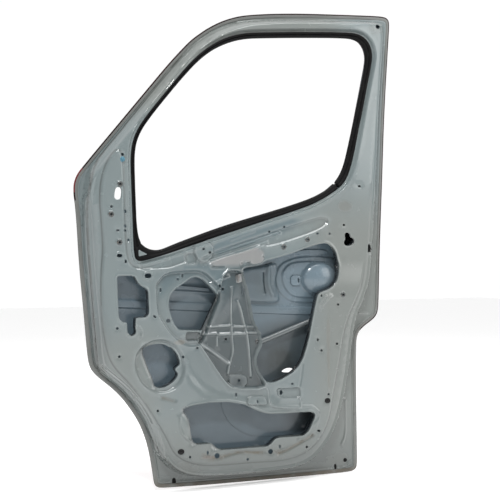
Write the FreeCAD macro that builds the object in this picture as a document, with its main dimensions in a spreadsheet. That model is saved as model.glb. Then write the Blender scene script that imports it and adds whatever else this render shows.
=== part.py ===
# Right-hand front van door: a stripped steel door shell.
# X runs to the rear of the vehicle, Y to the outside, Z up; millimetres.
# The origin lies on the outer face of the upper hinge seat.
import FreeCAD, Part
import os, math
import Sketcher

V = FreeCAD.Vector
doc = FreeCAD.newDocument("van_door")

sheet = doc.addObject("Spreadsheet::Sheet", "Sizes")
CELLS = [
    ("barrel_radius", 5100), ("barrel_height", 440),
    ("origin_x", 530), ("origin_y", 37), ("origin_z", 700),
    ("sheet_thick", 1.6), ("hem_gap", 0.2), ("hem_width", 12), ("face_depth", 57),
    ("prism_length", 320), ("prism_start", 100), ("body_width", 1300),
    ("channel_depth", 14), ("belt_return_depth", 38),
    ("regulator_depth", 35), ("seal_back", 18), ("seal_front", 46), ("belt_seal_back", 28),
    ("bowl_radius", 65), ("bowl_out", 25),
    ("beam_radius", 9), ("beam_wall", 2), ("beam_depth", 17),
    ("hinge_width", 40), ("hinge_height", 90), ("upper_hinge_thick", 15),
    ("lower_hinge_thick", 14), ("hinge_bolt_radius", 5.5), ("hinge_bolt_pitch", 50),
    ("latch_thick", 3), ("latch_bolt_radius", 4), ("latch_bolt_pitch", 60),
    ("plug_radius", 8), ("plug_high", 3), ("nut_radius", 8.5), ("nut_bore", 3.2), ("nut_high", 2.4),
    ("rail_depth", 15), ("patch_depth", 1.8), ("bracket_back", 26.2), ("mirror_back", 53),
]
for row, (alias, value) in enumerate(CELLS, 1):
    sheet.set("A%d" % row, alias)
    sheet.set("B%d" % row, str(value))
    sheet.setAlias("B%d" % row, alias)
doc.recompute()


def cell(name):
    return float(sheet.get(name))


# Outlines in the plane of the door, measured from a datum at the sill.
OUTLINE = [(-66.6,1447.2),(-105,1435.5),(-136.5,1422.7),(-173.7,1402),(-201.1,1382.2),(-225.3,1362.8),(-243.1,1344.5),(-275.7,1308),(-308,1269.3),(-337.3,1232.3),(-366.5,1195.5),(-395.7,1158.7),(-424.8,1122.1),(-453.8,1085.6),(-482.8,1049.3),(-511.7,1013.1),(-537.5,980),(-553.9,959.1),(-563.2,941.3),(-568.1,920.8),(-567.7,894.5),(-563.8,871.2),(-559.7,836.1),(-555.5,789),(-551.9,735.9),(-547.1,676.7),(-541.3,617.3),(-535.7,563.7),(-531.3,515.9),(-527,468.2),(-522.8,423.3),(-519.3,396.4),(-513.9,379.5),(-506.1,366.9),(-492.9,352.2),(-471.9,334.4),(-449.2,315.2),(-429.4,296),(-412.9,277),(-398.9,258.1),(-386.1,239.2),(-374.5,220.3),(-364.4,201.6),(-356.2,182.9),(-344.2,148.9),(-335.4,112.1),(-329,72.6),(-324.4,36.3),(-321.7,18.1),(-315.6,9.8),(-301.2,5.1),(-266.6,3.9),(-194.2,1.5),(-90.4,-0.4),(40.4,-2.2),(166.9,-3.4),(257.2,-4),(342.2,-4.2),(365.6,-0.1),(376,14),(377.5,95.9),(379.6,228.1),(380.8,411.7),(383.5,440.1),(392.6,458.9),(410.4,474.4),(436,490.5),(454.4,504.8),(463.9,523.6),(466.1,560.8),(466.5,628.5),(466.4,696.2),(466.7,777.2),(466,864.7),(465.4,948.4),(462.5,1048),(458.4,1156.3),(455.1,1253.6),(452.5,1336.9),(449.8,1403.3),(447.7,1450.3),(445.4,1472),(438.4,1483.8),(422.9,1488),(393.2,1488),(284.5,1481.4),(161.3,1473.3),(89.3,1467.5),(8.7,1458.8)]
STEP = [(-483.1,1020),(-501.2,995.5),(-515.4,965.8),(-524.2,940),(-531.5,899.3),(-533.7,858.9),(-531.3,817),(-526.3,730),(-520,665.9),(-513.8,592.8),(-509.7,535.6),(-504,478.4),(-499.2,413.8),(-492.8,375.4),(-479.5,352.2),(-453.1,324.6),(-420.5,295.1),(-393.8,262.7),(-368.5,232.7),(-343.8,190.7),(-324.7,147.8),(-303.7,106.5),(-276.3,75.7),(-246.5,56.2),(-208.7,44.1),(-161.7,38.9),(-95.7,35.5),(17.8,35),(116.7,36.6),(168.2,48.3),(207.7,71.1),(242.9,106.6),(269.4,145.4),(289.6,190.8),(304.7,241.5),(321.3,312),(334.9,390.3),(343.5,461.3),(357,516.7),(380.6,567.1),(399.6,617.9),(408,690.4),(411.9,795.8),(413.1,926.9),(412.3,1072.7),(410.2,1200.5),(407.9,1310.5),(405.8,1384.9),(401.3,1433.7),(393.2,1452.8),(374.2,1459),(239.7,1448.3),(102.9,1437.1),(-16.3,1426.9),(-82.4,1415.7),(-124.4,1402.8),(-167.3,1381.3),(-203.5,1357.7),(-233.1,1332.2),(-270.9,1290.1),(-308.4,1243.1),(-351.6,1188.8),(-394.6,1133.2),(-437.5,1078)]
SEAL_OUT = [(-38.2,1390.9),(111,1405.5),(291.2,1419.5),(320.4,1415.4),(346.7,1402.3),(363.8,1382.2),(372.4,1356.6),(371.6,1328.6),(367.7,1298.1),(361.2,1245.6),(354.6,1199.8),(349.1,1159.2),(343.2,1121.7),(338,1086.7),(332.3,1052.9),(326.3,1019.9),(317.7,985.8),(304.5,954.5),(286.7,933.4),(251,909.1),(220.9,891.5),(190.5,877.1),(160.5,865.4),(103.5,846.4),(49.2,828.9),(-7,811),(-71.1,790.2),(-151.4,764.7),(-203,747.4),(-250.6,731.2),(-291.3,717.9),(-334.8,704.8),(-365.5,697.1),(-379.3,696.6),(-390.7,704.4),(-395.1,731.8),(-398.8,792.6),(-401.6,845.6),(-404.5,892.7),(-407,935.8),(-409.9,976.1),(-410.4,1015.4),(-405.5,1051.9),(-390.7,1088.3),(-368.3,1122.1),(-346.4,1152),(-324.9,1179.2),(-304.5,1204.8),(-285.4,1230),(-265.8,1254.4),(-245.7,1278.9),(-223.9,1302.5),(-199.8,1324.5),(-172.6,1344.8),(-142.3,1362.3),(-109.3,1376.1),(-74.4,1385.4)]
SEAL_IN = [(-37,1374.6),(112.5,1388.7),(275.3,1401.5),(307.9,1397.5),(331.5,1385.7),(344.7,1366.8),(349.4,1342.4),(346.2,1289.4),(337.7,1234.4),(330.8,1191.5),(325.4,1153.5),(319.3,1118.3),(313.2,1085.6),(307.7,1054.1),(301.6,1023.5),(293.6,993.4),(279.9,965.1),(259.5,940.1),(234.3,919.9),(204.6,904.5),(175.3,892.1),(119.2,873.2),(68.5,857.8),(-7.8,835.4),(-65.6,818.5),(-138.4,795.2),(-186.3,778),(-247.2,756.1),(-282.3,742.1),(-304.1,733),(-322.7,729.1),(-346,732.4),(-364.3,743.1),(-375.6,758.3),(-381.5,780.6),(-385.5,813.2),(-388.1,853.5),(-391,898.6),(-393.2,940.3),(-395.8,979.2),(-396.3,1017.1),(-391.1,1053.1),(-376.2,1087.8),(-354.2,1120),(-332.8,1148.7),(-313,1174.5),(-293.2,1199.7),(-274.5,1223.2),(-255.2,1246.5),(-235.8,1269.3),(-214.8,1291.9),(-191.5,1313),(-165.1,1332.2),(-135.9,1347.8),(-104.6,1360.5),(-71.6,1369.4)]
HINGE_ACCESS = [(-447,653.4),(-399,653.8),(-390,636.5),(-382.9,628.9),(-360.8,614.6),(-355.8,607.6),(-352.2,543.3),(-357.1,533.5),(-366.9,531.4),(-388.3,531.1),(-393.2,527.4),(-394.9,498.3),(-391.5,489.2),(-394.2,481),(-403.4,476),(-411.9,481),(-415.5,491.2),(-416.2,515.6),(-428,517.1),(-437,522.1),(-441,533.7),(-444.3,588.5)]
FRONT_ACCESS = [(-282.6,586.5),(-274.9,600.8),(-261.2,613.3),(-235.1,629.9),(-213,645.4),(-196.7,647.7),(-181.5,641.4),(-167.7,629),(-127.6,587.4),(-156.4,531.1),(-178.9,485.2),(-186.2,450.5),(-230.4,449.8),(-232.4,480.9),(-254.6,489.2),(-268.6,507.8),(-278.8,536.8),(-284.6,561.1)]
SPEAKER = [(-364.6,428.6),(-361.8,437.5),(-342.1,446),(-318.8,448),(-297.3,444.5),(-277.9,432.9),(-262.2,414.1),(-254,393.7),(-254,382.2),(-265.7,375.6),(-269.9,368.2),(-264.9,361.3),(-259.2,354.7),(-264.3,343.5),(-280.2,328.1),(-299.6,318.9),(-322.7,316.4),(-330.1,323.9),(-334.3,344.2),(-345.9,371.1),(-354.5,393),(-364,419.7)]
POCKET = [(-242.8,240.6),(-235.1,250.1),(-217.5,256.8),(-191.8,259.7),(-157.5,262.7),(-99.4,260.9),(-71,255.4),(-42.4,248.7),(-11.1,231.8),(21.9,219),(39.5,215),(87.7,213.4),(150.5,212.7),(178.7,212.7),(190.7,209),(195.8,199.1),(189.8,186.5),(177.6,165.2),(166.6,150.1),(153.3,142),(131.2,141.4),(68.8,141.8),(56.3,138.4),(46.5,130.8),(37.4,120.9),(26,117.5),(-45,118.2),(-104,118.4),(-128.2,119.2),(-138.5,123.9),(-150.3,136.1),(-161.5,141.2),(-190.5,141.4),(-206.5,141.7),(-212.8,148.2),(-216.8,169.9),(-219,195.3),(-225,217.4),(-233.7,232.5)]
REAR_ACCESS = [(27,695.5),(79.1,708.5),(120.8,719.8),(158.7,733.2),(203.3,747.3),(232.8,752.2),(244.4,750.3),(261,737.4),(272.4,720.9),(277.6,700.8),(284,681.3),(282.1,653.7),(276.3,632),(263.2,615.6),(246.4,605.8),(215.6,595.4),(205.1,584.3),(198.3,556.4),(185.3,495.6),(177.6,455.7),(168,422.4),(156.2,387.7),(141,363.2),(121.5,344.1),(82.4,324),(53.7,315.4),(31.8,315.7),(24.7,322.6),(8.3,350.4),(-0.1,372.7),(0.7,391.5),(6.9,408.4),(16.4,426.9),(19.1,444),(10.9,472),(-2.4,494.1),(-10.9,514.1),(-15.8,542.4),(-21.5,570.7),(-30.7,609.6),(-41.9,641.3),(-48.6,664.1),(-47.1,671.2),(-38.1,675.2),(-14.7,678.8),(11.9,684.9)]
MIRROR_SLOT = [(-454.2,913),(-446.8,914.4),(-440.7,911.1),(-438.7,901.5),(-440.6,880.1),(-447.2,878.6),(-455.2,879),(-459.2,884.4),(-457.8,901)]
LOCK_HOLE = [(306.7,785.2),(323.2,785.7),(324.3,774.3),(334.1,767.2),(335.6,757.4),(328.1,750.9),(316.1,744.7),(305,748.2),(309.4,759.9),(309,772.3)]
REGULATOR = [(-111.3,668.3),(-48.7,667.2),(-41.9,641.3),(-30.7,609.6),(-21.5,570.7),(-15.8,542.4),(-10.9,514.1),(-2.4,494.1),(10.9,472),(19.1,444),(16.4,426.9),(6.9,408.4),(0.7,391.5),(-0.1,372.7),(8.3,350.4),(24.7,322.6),(31.5,293.4),(-71.4,299.3),(-91.9,309.1),(-113.1,333.4),(-135.8,366.8),(-155.2,395.4),(-174.6,423.8),(-190.7,444.3),(-186.2,450.5),(-178.9,485.2),(-156.4,531.1),(-127.6,587.4)]
STIFFENER = [(-100.9,245.7),(-91.3,215.7),(-78.3,193),(-61.8,174.3),(-35.8,155.8),(-1.3,140.3),(42.7,134.5),(81.7,133.1),(141.7,134),(170.7,151.1),(179.1,202.1),(165.7,248.3),(39.1,275.1),(-83.8,276)]
HOLES = [(-436.7,1009.5,4.3),(-443.1,922.9,4.3),(-467.3,856.9,3.7),(-468.3,834.4,4.3),(-441.9,752.9,4.3),(-441.1,713.5,5.6),(-354.1,653.3,7.4),(-445.7,499,3.7),(-439.6,415.5,3.7),(-256.4,641.1,3.7),(-286.2,515.9,6.2),(-181.1,733.1,3.7),(-160.5,722.3,4),(-109.4,608.7,4.3),(206.4,782.9,3.7),(250.2,782.6,3.4),(300.6,811.4,3.7),(110.5,716.7,5),(-241,405.3,3.7),(-323.3,248.4,3.4),(-224.5,103.4,3.4),(-37.3,80.9,3.7),(166.2,102.5,3.7),(-137.8,100,8.1),(40.1,98.1,7.8),(-252.7,121.5,5.9),(243.3,244.3,5.3),(247.7,264.3,3.4),(283,553.2,3.7),(279.7,425.8,3.7),(223.6,406.3,3.7),(299.8,584.8,3.7),(88.7,739.8,3.7),(119.7,304.5,3.4),(-1.9,256.7,3.4),(-94.5,255.7,3.4),(82.9,278.5,5)]
BOWL = (222.3, 635.4)
BELT_LINE = [(-388,705),(-388,742),(-340,760),(200,935),(262,957),(295,925),(230,860),(-100,760),(-360,680)]
DRAINS = [[(-265,31),(-253,31),(-253,12),(-265,12)], [(290,26),(299,26),(299,8),(290,8)]]
FLANGE_HOLES = [(331.9,34.4,6.5)]
SPLIT = [
    ("inner_front_pillar", [(-620,700),(-412,700),(-412,745),(-380,760),(-380,1000),(-200,1280),(-100,1340),(-100,1520),(-620,1520)]),
    ("inner_header", [(-100,1520),(-100,1340),(300,1375),(345,1360),(520,1360),(520,1520)]),
    ("inner_rear_pillar", [(520,1360),(345,1360),(300,1300),(270,960),(330,925),(330,820),(520,820)]),
    ("inner_belt_rail", [(-412,662),(-250,652),(-205,640),(-128,580),(-90,600),(-60,640),(-45,676),(28,700),(118,724),(205,745),(262,752),(330,820),(330,925),(270,960),(-380,760),(-412,745)]),
    ("inner_panel_hinge_side", [(-620,700),(-412,700),(-412,662),(-250,652),(-205,640),(-170,520),(-190,455),(-150,450),(-140,382),(-620,382)]),
    ("inner_panel_speaker_area", [(-620,382),(-140,382),(-140,190),(-620,190)]),
    ("inner_panel_pocket_rim", [(-140,382),(60,382),(60,300),(190,240),(190,190),(-140,190)]),
    ("inner_panel_latch_side", [(520,820),(330,820),(262,752),(240,700),(150,500),(60,382),(60,300),(190,240),(190,190),(520,190)]),
    ("inner_panel_sill", [(-620,190),(520,190),(520,-50),(-620,-50)]),
]
PAN_HOLES = [(9.8,440,3.2),(-53,322,4.2),(-95,448,3.7)]
BELT_BAND = [(-375,690),(-300,707),(-150,752),(0,802),(150,855),(235,896),(262,870),(262,830),(150,790),(0,738),(-150,688),(-300,643),(-375,628)]
BELT_FOOT = [(-375,630),(-300,645),(-150,690),(0,740),(150,792),(262,832),(262,830),(150,790),(0,738),(-150,688),(-300,643),(-375,628)]
HANDLE_PLATE = [(10,560),(30,545),(280,545),(310,575),(310,690),(290,715),(120,700),(10,672)]
BEAM = ((-238,345),(352,550))
BRACKETS = [
    ("beam_front_bracket", [(-470,318),(-400,314),(-330,310),(-268,320),(-222,366),(-196,372),(-184,352),(-214,322),(-262,284),(-330,266),(-400,262),(-470,268)]),
    ("beam_rear_bracket", [(296,562),(430,625),(430,515),(352,500),(296,508)]),
]
MIRROR_HOLE = [(-444,927.5),(-431.9,929.7),(-422,924.3),(-418.7,908.7),(-421.9,873.7),(-432.6,871.1),(-445.7,871.8),(-452.2,880.7),(-449.9,907.9)]
TRIM_HOLE = [(106,334.3),(114.6,342.3),(126,346.9),(140.2,347.2),(151.6,342.1),(158.7,335.9),(157.9,331.7)]
MIRROR_PLATE = [(-505,900),(-470,975),(-425,1010),(-418,960),(-422,730),(-480,730),(-505,820)]
BELT_SEAL_ZONE = [(-430,690),(-430,728),(-385,738),(-330,770),(150,930),(262,957),(285,931),(330,915),(330,690)]
PLUG = (-438.1, 995.3)
NUTS = [
    ("mirror_nuts", [(-443.1,922.9),(-468.3,834.4),(-441.9,752.9)], 57.2),
    ("trim_nuts", [(88.7,739.8),(299.8,584.8),(170.9,763.5)], 57.2),
    ("regulator_nut", [(9.8,440.1)], 35.2),
]
BUNGS = [(-252.7,121.5),(243.3,244.3)]
CLIP = (-52.8, 637)

FLAT = FreeCAD.Rotation(V(1, 0, 0), 90)
OX, OY, OZ = cell("origin_x"), cell("origin_y"), cell("origin_z")


def area(poly):
    return 0.5 * sum(a[0] * b[1] - b[0] * a[1] for a, b in zip(poly, poly[1:] + poly[:1]))


def offset(poly, dist):
    """A closed outline moved outward by dist (inward when negative)."""
    sign = 1.0 if area(poly) > 0 else -1.0
    out = []
    n = len(poly)
    for i in range(n):
        a, b, c = poly[i - 1], poly[i], poly[(i + 1) % n]
        u = V(b[0] - a[0], b[1] - a[1], 0)
        w = V(c[0] - b[0], c[1] - b[1], 0)
        u.normalize()
        w.normalize()
        n1 = V(u.y, -u.x, 0) * sign
        n2 = V(w.y, -w.x, 0) * sign
        m = n1 + n2
        m.normalize()
        k = dist / max(0.5, m.dot(n1))
        out.append((b[0] + m.x * k, b[1] + m.y * k))
    return out


count = [0]


def prism(*loops):
    """A prism along Y on one or more closed outlines (the later ones are holes)."""
    count[0] += 1
    sketch = doc.addObject("Sketcher::SketchObject", "Outline%03d" % count[0])
    sketch.Placement = FreeCAD.Placement(V(OX, OY + cell("prism_start"), -OZ), FLAT)
    geo = []
    for loop in loops:
        pts = [V(x, z, 0) for x, z in loop]
        geo += [Part.LineSegment(p, q) for p, q in zip(pts, pts[1:] + pts[:1]) if p.distanceToPoint(q) > 1e-3]
    sketch.addGeometry(geo, False)
    ex = doc.addObject("Part::Extrusion", "Prism%03d" % count[0])
    ex.Base = sketch
    ex.DirMode = "Normal"
    ex.Solid = True
    ex.FaceMakerClass = "Part::FaceMakerBullseye"
    ex.setExpression("LengthFwd", "Sizes.prism_length")
    return ex


def barrel(expr):
    count[0] += 1
    cyl = doc.addObject("Part::Cylinder", "Barrel%03d" % count[0])
    cyl.setExpression("Radius", "Sizes.barrel_radius - (%s)" % expr)
    cyl.setExpression("Height", "Sizes.body_width")
    cyl.Placement = FreeCAD.Placement(V(OX - 650, OY - cell("barrel_radius"), cell("barrel_height") - OZ),
                                      FreeCAD.Rotation(V(0, 1, 0), 90))
    return cyl


shells = {}


def shell(near, far):
    """The space between two depths under the door's outer face."""
    if (near, far) not in shells:
        cut = doc.addObject("Part::Cut", "Shell%02d" % len(shells))
        cut.Base = barrel(near)
        cut.Tool = barrel(far)
        shells[(near, far)] = cut
    return shells[(near, far)]


def sheet_piece(loops, near, far):
    count[0] += 1
    com = doc.addObject("Part::Common", "Sheet%03d" % count[0])
    com.Base = prism(*loops)
    com.Tool = shell(near, far)
    return com


def fuse(parts):
    if len(parts) == 1:
        return parts[0]
    count[0] += 1
    f = doc.addObject("Part::MultiFuse", "Joined%03d" % count[0])
    f.Shapes = parts
    return f


def cut(base, tool):
    count[0] += 1
    c = doc.addObject("Part::Cut", "Cut%03d" % count[0])
    c.Base = base
    c.Tool = tool
    return c


def common(base, tool):
    count[0] += 1
    c = doc.addObject("Part::Common", "Part%03d" % count[0])
    c.Base = base
    c.Tool = tool
    return c


def cyl_y(x, z, radius, y_from, length):
    """A cylinder along -Y; radius is a number or an expression."""
    count[0] += 1
    c = doc.addObject("Part::Cylinder", "Round%03d" % count[0])
    if isinstance(radius, str):
        c.setExpression("Radius", radius)
    else:
        c.Radius = radius
    if isinstance(length, str):
        c.setExpression("Height", length)
    else:
        c.Height = length
    c.Placement = FreeCAD.Placement(V(OX + x, OY + y_from, z - OZ), FLAT)
    return c


def cyl_x(x, y, z, radius, length):
    count[0] += 1
    c = doc.addObject("Part::Cylinder", "Cross%03d" % count[0])
    c.setExpression("Radius", radius)
    c.Height = length
    c.Placement = FreeCAD.Placement(V(x, y, z), FreeCAD.Rotation(V(0, 1, 0), 90))
    return c


def face_y(z, depth):
    """Y of the surface a given depth under the outer face at height z."""
    r = cell("barrel_radius")
    return math.sqrt((r - depth) ** 2 - (z - cell("barrel_height")) ** 2) - r


nodes = {}


def node(name, obj):
    obj.Label = name
    nodes[name] = obj


T = "Sizes.sheet_thick"
t = cell("sheet_thick")
FACE = "Sizes.face_depth"
FL0 = "Sizes.sheet_thick + Sizes.hem_gap"
FL1 = "2 * Sizes.sheet_thick + Sizes.hem_gap"
HEM0 = "2 * Sizes.sheet_thick + 2 * Sizes.hem_gap"
HEM1 = "3 * Sizes.sheet_thick + 2 * Sizes.hem_gap"

# ---- outer skin: panel, folded hem and the round handle bowl
window_skin = offset(SEAL_OUT, -4.0)
skin = sheet_piece([OUTLINE, window_skin, MIRROR_HOLE, TRIM_HOLE], "0", T)
hem_edge = sheet_piece([OUTLINE, offset(OUTLINE, -t)], "0", HEM1)
hem_return = sheet_piece([OUTLINE, offset(OUTLINE, -cell("hem_width"))], HEM0, HEM1)
BX, BZ = BOWL


def ball(expr):
    count[0] += 1
    s = doc.addObject("Part::Sphere", "Ball%03d" % count[0])
    s.setExpression("Radius", expr)
    s.Placement.Base = V(OX + BX, OY + face_y(BZ, 0) + cell("bowl_out"), BZ - OZ)
    return s


bowl_shell = cut(ball("Sizes.bowl_radius"), ball("Sizes.bowl_radius - Sizes.sheet_thick"))
bowl = common(bowl_shell, shell("0", "200"))
skin_open = cut(fuse([skin, hem_edge, hem_return]), ball("Sizes.bowl_radius - 0.5 * Sizes.sheet_thick"))
node("outer_skin", fuse([skin_open, bowl]))

# ---- inner pressing
inner_edge = offset(OUTLINE, -t - 0.3)
flange = sheet_piece([inner_edge, offset(STEP, -0.5 * t)], FL0, FL1)
wall = sheet_piece([STEP, offset(STEP, -t)], FL0, FACE)
face = sheet_piece([STEP, SEAL_OUT], "Sizes.face_depth - Sizes.sheet_thick", FACE)
rim_full = sheet_piece([offset(SEAL_OUT, t), SEAL_OUT], "Sizes.channel_depth", FACE)
rim = cut(rim_full, common(prism(BELT_LINE), shell("0", "Sizes.belt_return_depth")))
pressing = fuse([flange, wall, face, rim])

openings = [prism(p) for p in (HINGE_ACCESS, FRONT_ACCESS, SPEAKER, POCKET, REAR_ACCESS, MIRROR_SLOT, LOCK_HOLE, REGULATOR)]
rounds = [cyl_y(x, z, r, -20, 120) for x, z, r in HOLES]
drains = [prism(p) for p in DRAINS] + [cyl_y(x, z, r, 20 - 18, 200) for x, z, r in FLANGE_HOLES]
faced = cut(pressing, fuse(openings))
drilled = cut(faced, common(fuse(rounds), shell("30", "200")))
drained = cut(drilled, fuse(drains))


def block(x, y, z, dx, dy, dz):
    count[0] += 1
    b = doc.addObject("Part::Box", "Block%03d" % count[0])
    b.Length, b.Width, b.Height = dx, dy, dz
    b.Placement.Base = V(x, y, z)
    return b


UX, LX = 0.0, 22.0
hw, hh = cell("hinge_width"), cell("hinge_height")
LY, LZ = 7.0, -250.0
seats = fuse([block(UX - 5, -hw / 2, -hh / 2, 25, hw, hh), block(LX - 5, LY - hw / 2, LZ - hh / 2, 25, hw, hh)])
RX, RY, RZ = 932.5, -2.0, 40.0
lp = cell("latch_bolt_pitch")
latch_holes = fuse([cyl_x(RX - 20, RY, RZ + s * lp / 2, "Sizes.latch_bolt_radius", 60) for s in (-1, 1)])
seated = cut(cut(drained, seats), latch_holes)
for name, poly in SPLIT:
    node(name, common(seated, prism(poly)))

# ---- regulator carrier: a shallow pan between the access openings
pan_in = offset(REGULATOR, -t)
pan = sheet_piece([offset(REGULATOR, -0.3)], "Sizes.regulator_depth - Sizes.sheet_thick", "Sizes.regulator_depth")
pan_wall = sheet_piece([offset(REGULATOR, -0.3), offset(REGULATOR, -0.3 - t)], "Sizes.regulator_depth - Sizes.sheet_thick", FACE)
pan_holes = fuse([cyl_y(x, z, r, 0, 120) for x, z, r in PAN_HOLES])
node("regulator_panel", cut(fuse([pan, pan_wall]), pan_holes))


# ---- hinge seats: thick plates let into the front wall, two bolt holes each
def seat(name, x, y, z, thick):
    body = doc.addObject("PartDesign::Body", name)
    sk = body.newObject("Sketcher::SketchObject", name + "_face")
    plane = [f for f in body.Origin.OriginFeatures if f.Role == "YZ_Plane"][0]
    sk.AttachmentSupport = [(plane, "")]
    sk.MapMode = "FlatFace"
    hw, hh = cell("hinge_width"), cell("hinge_height")
    c = [V(-hw / 2, -hh / 2, 0), V(hw / 2, -hh / 2, 0), V(hw / 2, hh / 2, 0), V(-hw / 2, hh / 2, 0)]
    sk.addGeometry([Part.LineSegment(a, b) for a, b in zip(c, c[1:] + c[:1])], False)
    for i in range(4):
        sk.addConstraint(Sketcher.Constraint("Coincident", i, 2, (i + 1) % 4, 1))
    sk.addConstraint([Sketcher.Constraint("Horizontal", 0), Sketcher.Constraint("Horizontal", 2),
                      Sketcher.Constraint("Vertical", 1), Sketcher.Constraint("Vertical", 3),
                      Sketcher.Constraint("Symmetric", 0, 1, 1, 2, -1, 1)])
    k = sk.addConstraint(Sketcher.Constraint("DistanceX", 0, 1, 0, 2, hw))
    sk.setExpression("Constraints[%d]" % k, "Sizes.hinge_width")
    k = sk.addConstraint(Sketcher.Constraint("DistanceY", 1, 1, 1, 2, hh))
    sk.setExpression("Constraints[%d]" % k, "Sizes.hinge_height")
    pad = body.newObject("PartDesign::Pad", name + "_pad")
    pad.Profile = sk
    pad.setExpression("Length", thick)
    doc.recompute()
    full = pad.Shape.Volume
    sb = body.newObject("Sketcher::SketchObject", name + "_bolts")
    sb.AttachmentSupport = [(plane, "")]
    sb.MapMode = "FlatFace"
    p, r = cell("hinge_bolt_pitch"), cell("hinge_bolt_radius")
    for i, s in enumerate((-1, 1)):
        sb.addGeometry(Part.Circle(V(0, s * p / 2, 0), V(0, 0, 1), r), False)
        k = sb.addConstraint(Sketcher.Constraint("Radius", i, r))
        sb.setExpression("Constraints[%d]" % k, "Sizes.hinge_bolt_radius")
        sb.addConstraint(Sketcher.Constraint("PointOnObject", i, 3, -2))
        k = sb.addConstraint(Sketcher.Constraint("DistanceY", -1, 1, i, 3, s * p / 2))
        sb.setExpression("Constraints[%d]" % k, "%d * Sizes.hinge_bolt_pitch / 2" % s)
    pocket = body.newObject("PartDesign::Pocket", name + "_holes")
    pocket.Profile = sb
    pocket.Type = "ThroughAll"
    doc.recompute()
    if pocket.Shape.Volume >= full - 1:
        pocket.Reversed = True
        doc.recompute()
    body.Placement = FreeCAD.Placement(V(x, y, z), FreeCAD.Rotation())
    node(name, body)


seat("upper_hinge_seat_plate", UX, 0, 0, "Sizes.upper_hinge_thick")
seat("lower_hinge_seat_plate", LX, LY, LZ, "Sizes.lower_hinge_thick")

# ---- latch reinforcement inside the rear wall
lb = block(RX, RY - 20, RZ - 50, 3, 40, 100)
lb.setExpression("Length", "Sizes.latch_thick")
node("latch_reinforcement", cut(lb, latch_holes))

# ---- pieces on the inside of the outer skin
bar = sheet_piece([BELT_BAND], "Sizes.rail_depth - Sizes.sheet_thick", "Sizes.rail_depth")
bar_foot = sheet_piece([BELT_FOOT], FL0, "Sizes.rail_depth")
node("outer_belt_reinforcement", fuse([bar, bar_foot]))
hr = sheet_piece([HANDLE_PLATE], FL0, FL1)
node("handle_reinforcement", cut(hr, ball("Sizes.bowl_radius + 0.3")))
node("lower_stiffener", sheet_piece([STIFFENER], FL0, FL1))

# ---- side impact beam and its end brackets
(ax, az), (bx, bz) = BEAM
ang = math.atan2(bz - az, bx - ax)
length = math.hypot(bx - ax, bz - az)


def tube(expr):
    count[0] += 1
    c = doc.addObject("Part::Cylinder", "Tube%03d" % count[0])
    c.setExpression("Radius", expr)
    c.Height = length
    y = 0.5 * (face_y(az, cell("beam_depth")) + face_y(bz, cell("beam_depth")))
    c.Placement = FreeCAD.Placement(V(OX + ax, OY + y, az - OZ),
                                    FreeCAD.Rotation(V(0, 0, 1), V(math.cos(ang), 0, math.sin(ang))))
    return c


node("side_impact_beam", cut(tube("Sizes.beam_radius"), tube("Sizes.beam_radius - Sizes.beam_wall")))
for name, poly in BRACKETS:
    plate = sheet_piece([poly], "Sizes.bracket_back", "Sizes.bracket_back + Sizes.sheet_thick")
    node(name, common(plate, prism(offset(STEP, -t - 0.2))))
node("mirror_reinforcement", sheet_piece([MIRROR_PLATE, offset(MIRROR_SLOT, 3.0)], "Sizes.mirror_back", "Sizes.mirror_back + Sizes.sheet_thick"))

# ---- rubber
ring = sheet_piece([offset(SEAL_OUT, -0.3), SEAL_IN], "Sizes.seal_back", "Sizes.seal_front")
node("glass_run_seal", cut(ring, prism(BELT_SEAL_ZONE)))
ring2 = sheet_piece([offset(SEAL_OUT, -0.3), SEAL_IN], "Sizes.belt_seal_back", "Sizes.seal_front")
node("belt_seal", common(ring2, prism(offset(BELT_SEAL_ZONE, -1.0))))


# ---- small fittings
def stud(x, z, depth, radius, high):
    return cyl_y(x, z, radius, face_y(z, depth), high)


node("blue_plug", fuse([stud(PLUG[0], PLUG[1], 57.2, "Sizes.plug_radius", "Sizes.plug_high"),
                        stud(PLUG[0], PLUG[1], 50, "0.5 * Sizes.plug_radius", 8)]))
for name, spots, depth in NUTS:
    node(name, fuse([cut(stud(x, z, depth, "Sizes.nut_radius", "Sizes.nut_high"),
                         stud(x, z, depth - 5, "Sizes.nut_bore", 12)) for x, z in spots]))
node("drain_plugs", fuse([stud(x, z, 57.2, 7.5, 2.5) for x, z in BUNGS]))
clip = block(OX + CLIP[0] - 14, OY + face_y(CLIP[1], 35) - 8, CLIP[1] - 15 - OZ, 28, 7.8, 30)
clip_in = block(OX + CLIP[0] - 12.4, OY + face_y(CLIP[1], 35) - 6.4, CLIP[1] - 16 - OZ, 24.8, 8, 32)
node("belt_clip", cut(clip, clip_in))

doc.recompute()
bad = [o.Name for o in doc.Objects if "Invalid" in o.State or "Error" in o.State]
if bad:
    raise RuntimeError("objects in error: %s" % bad)
os.makedirs("parts", exist_ok=True)
for name, obj in nodes.items():
    s = obj.Shape
    if s.isNull() or not s.isValid() or not s.Solids:
        raise RuntimeError("bad shape in " + name)
    s.exportStep("parts/%s.step" % name)
    bb = s.BoundBox
    print("%-26s solids %d vol %.0f x %.0f..%.0f y %.0f..%.0f z %.0f..%.0f" % (
        name, len(s.Solids), s.Volume, bb.XMin, bb.XMax, bb.YMin, bb.YMax, bb.ZMin, bb.ZMax))
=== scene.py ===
# Stripped van front door: detailed pressings, seals, fittings and finishes
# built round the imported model, with a plain pale floor and soft studio light.
import bpy, math
import numpy as np
from mathutils import Vector, Matrix
from mathutils.geometry import delaunay_2d_cdt


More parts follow.
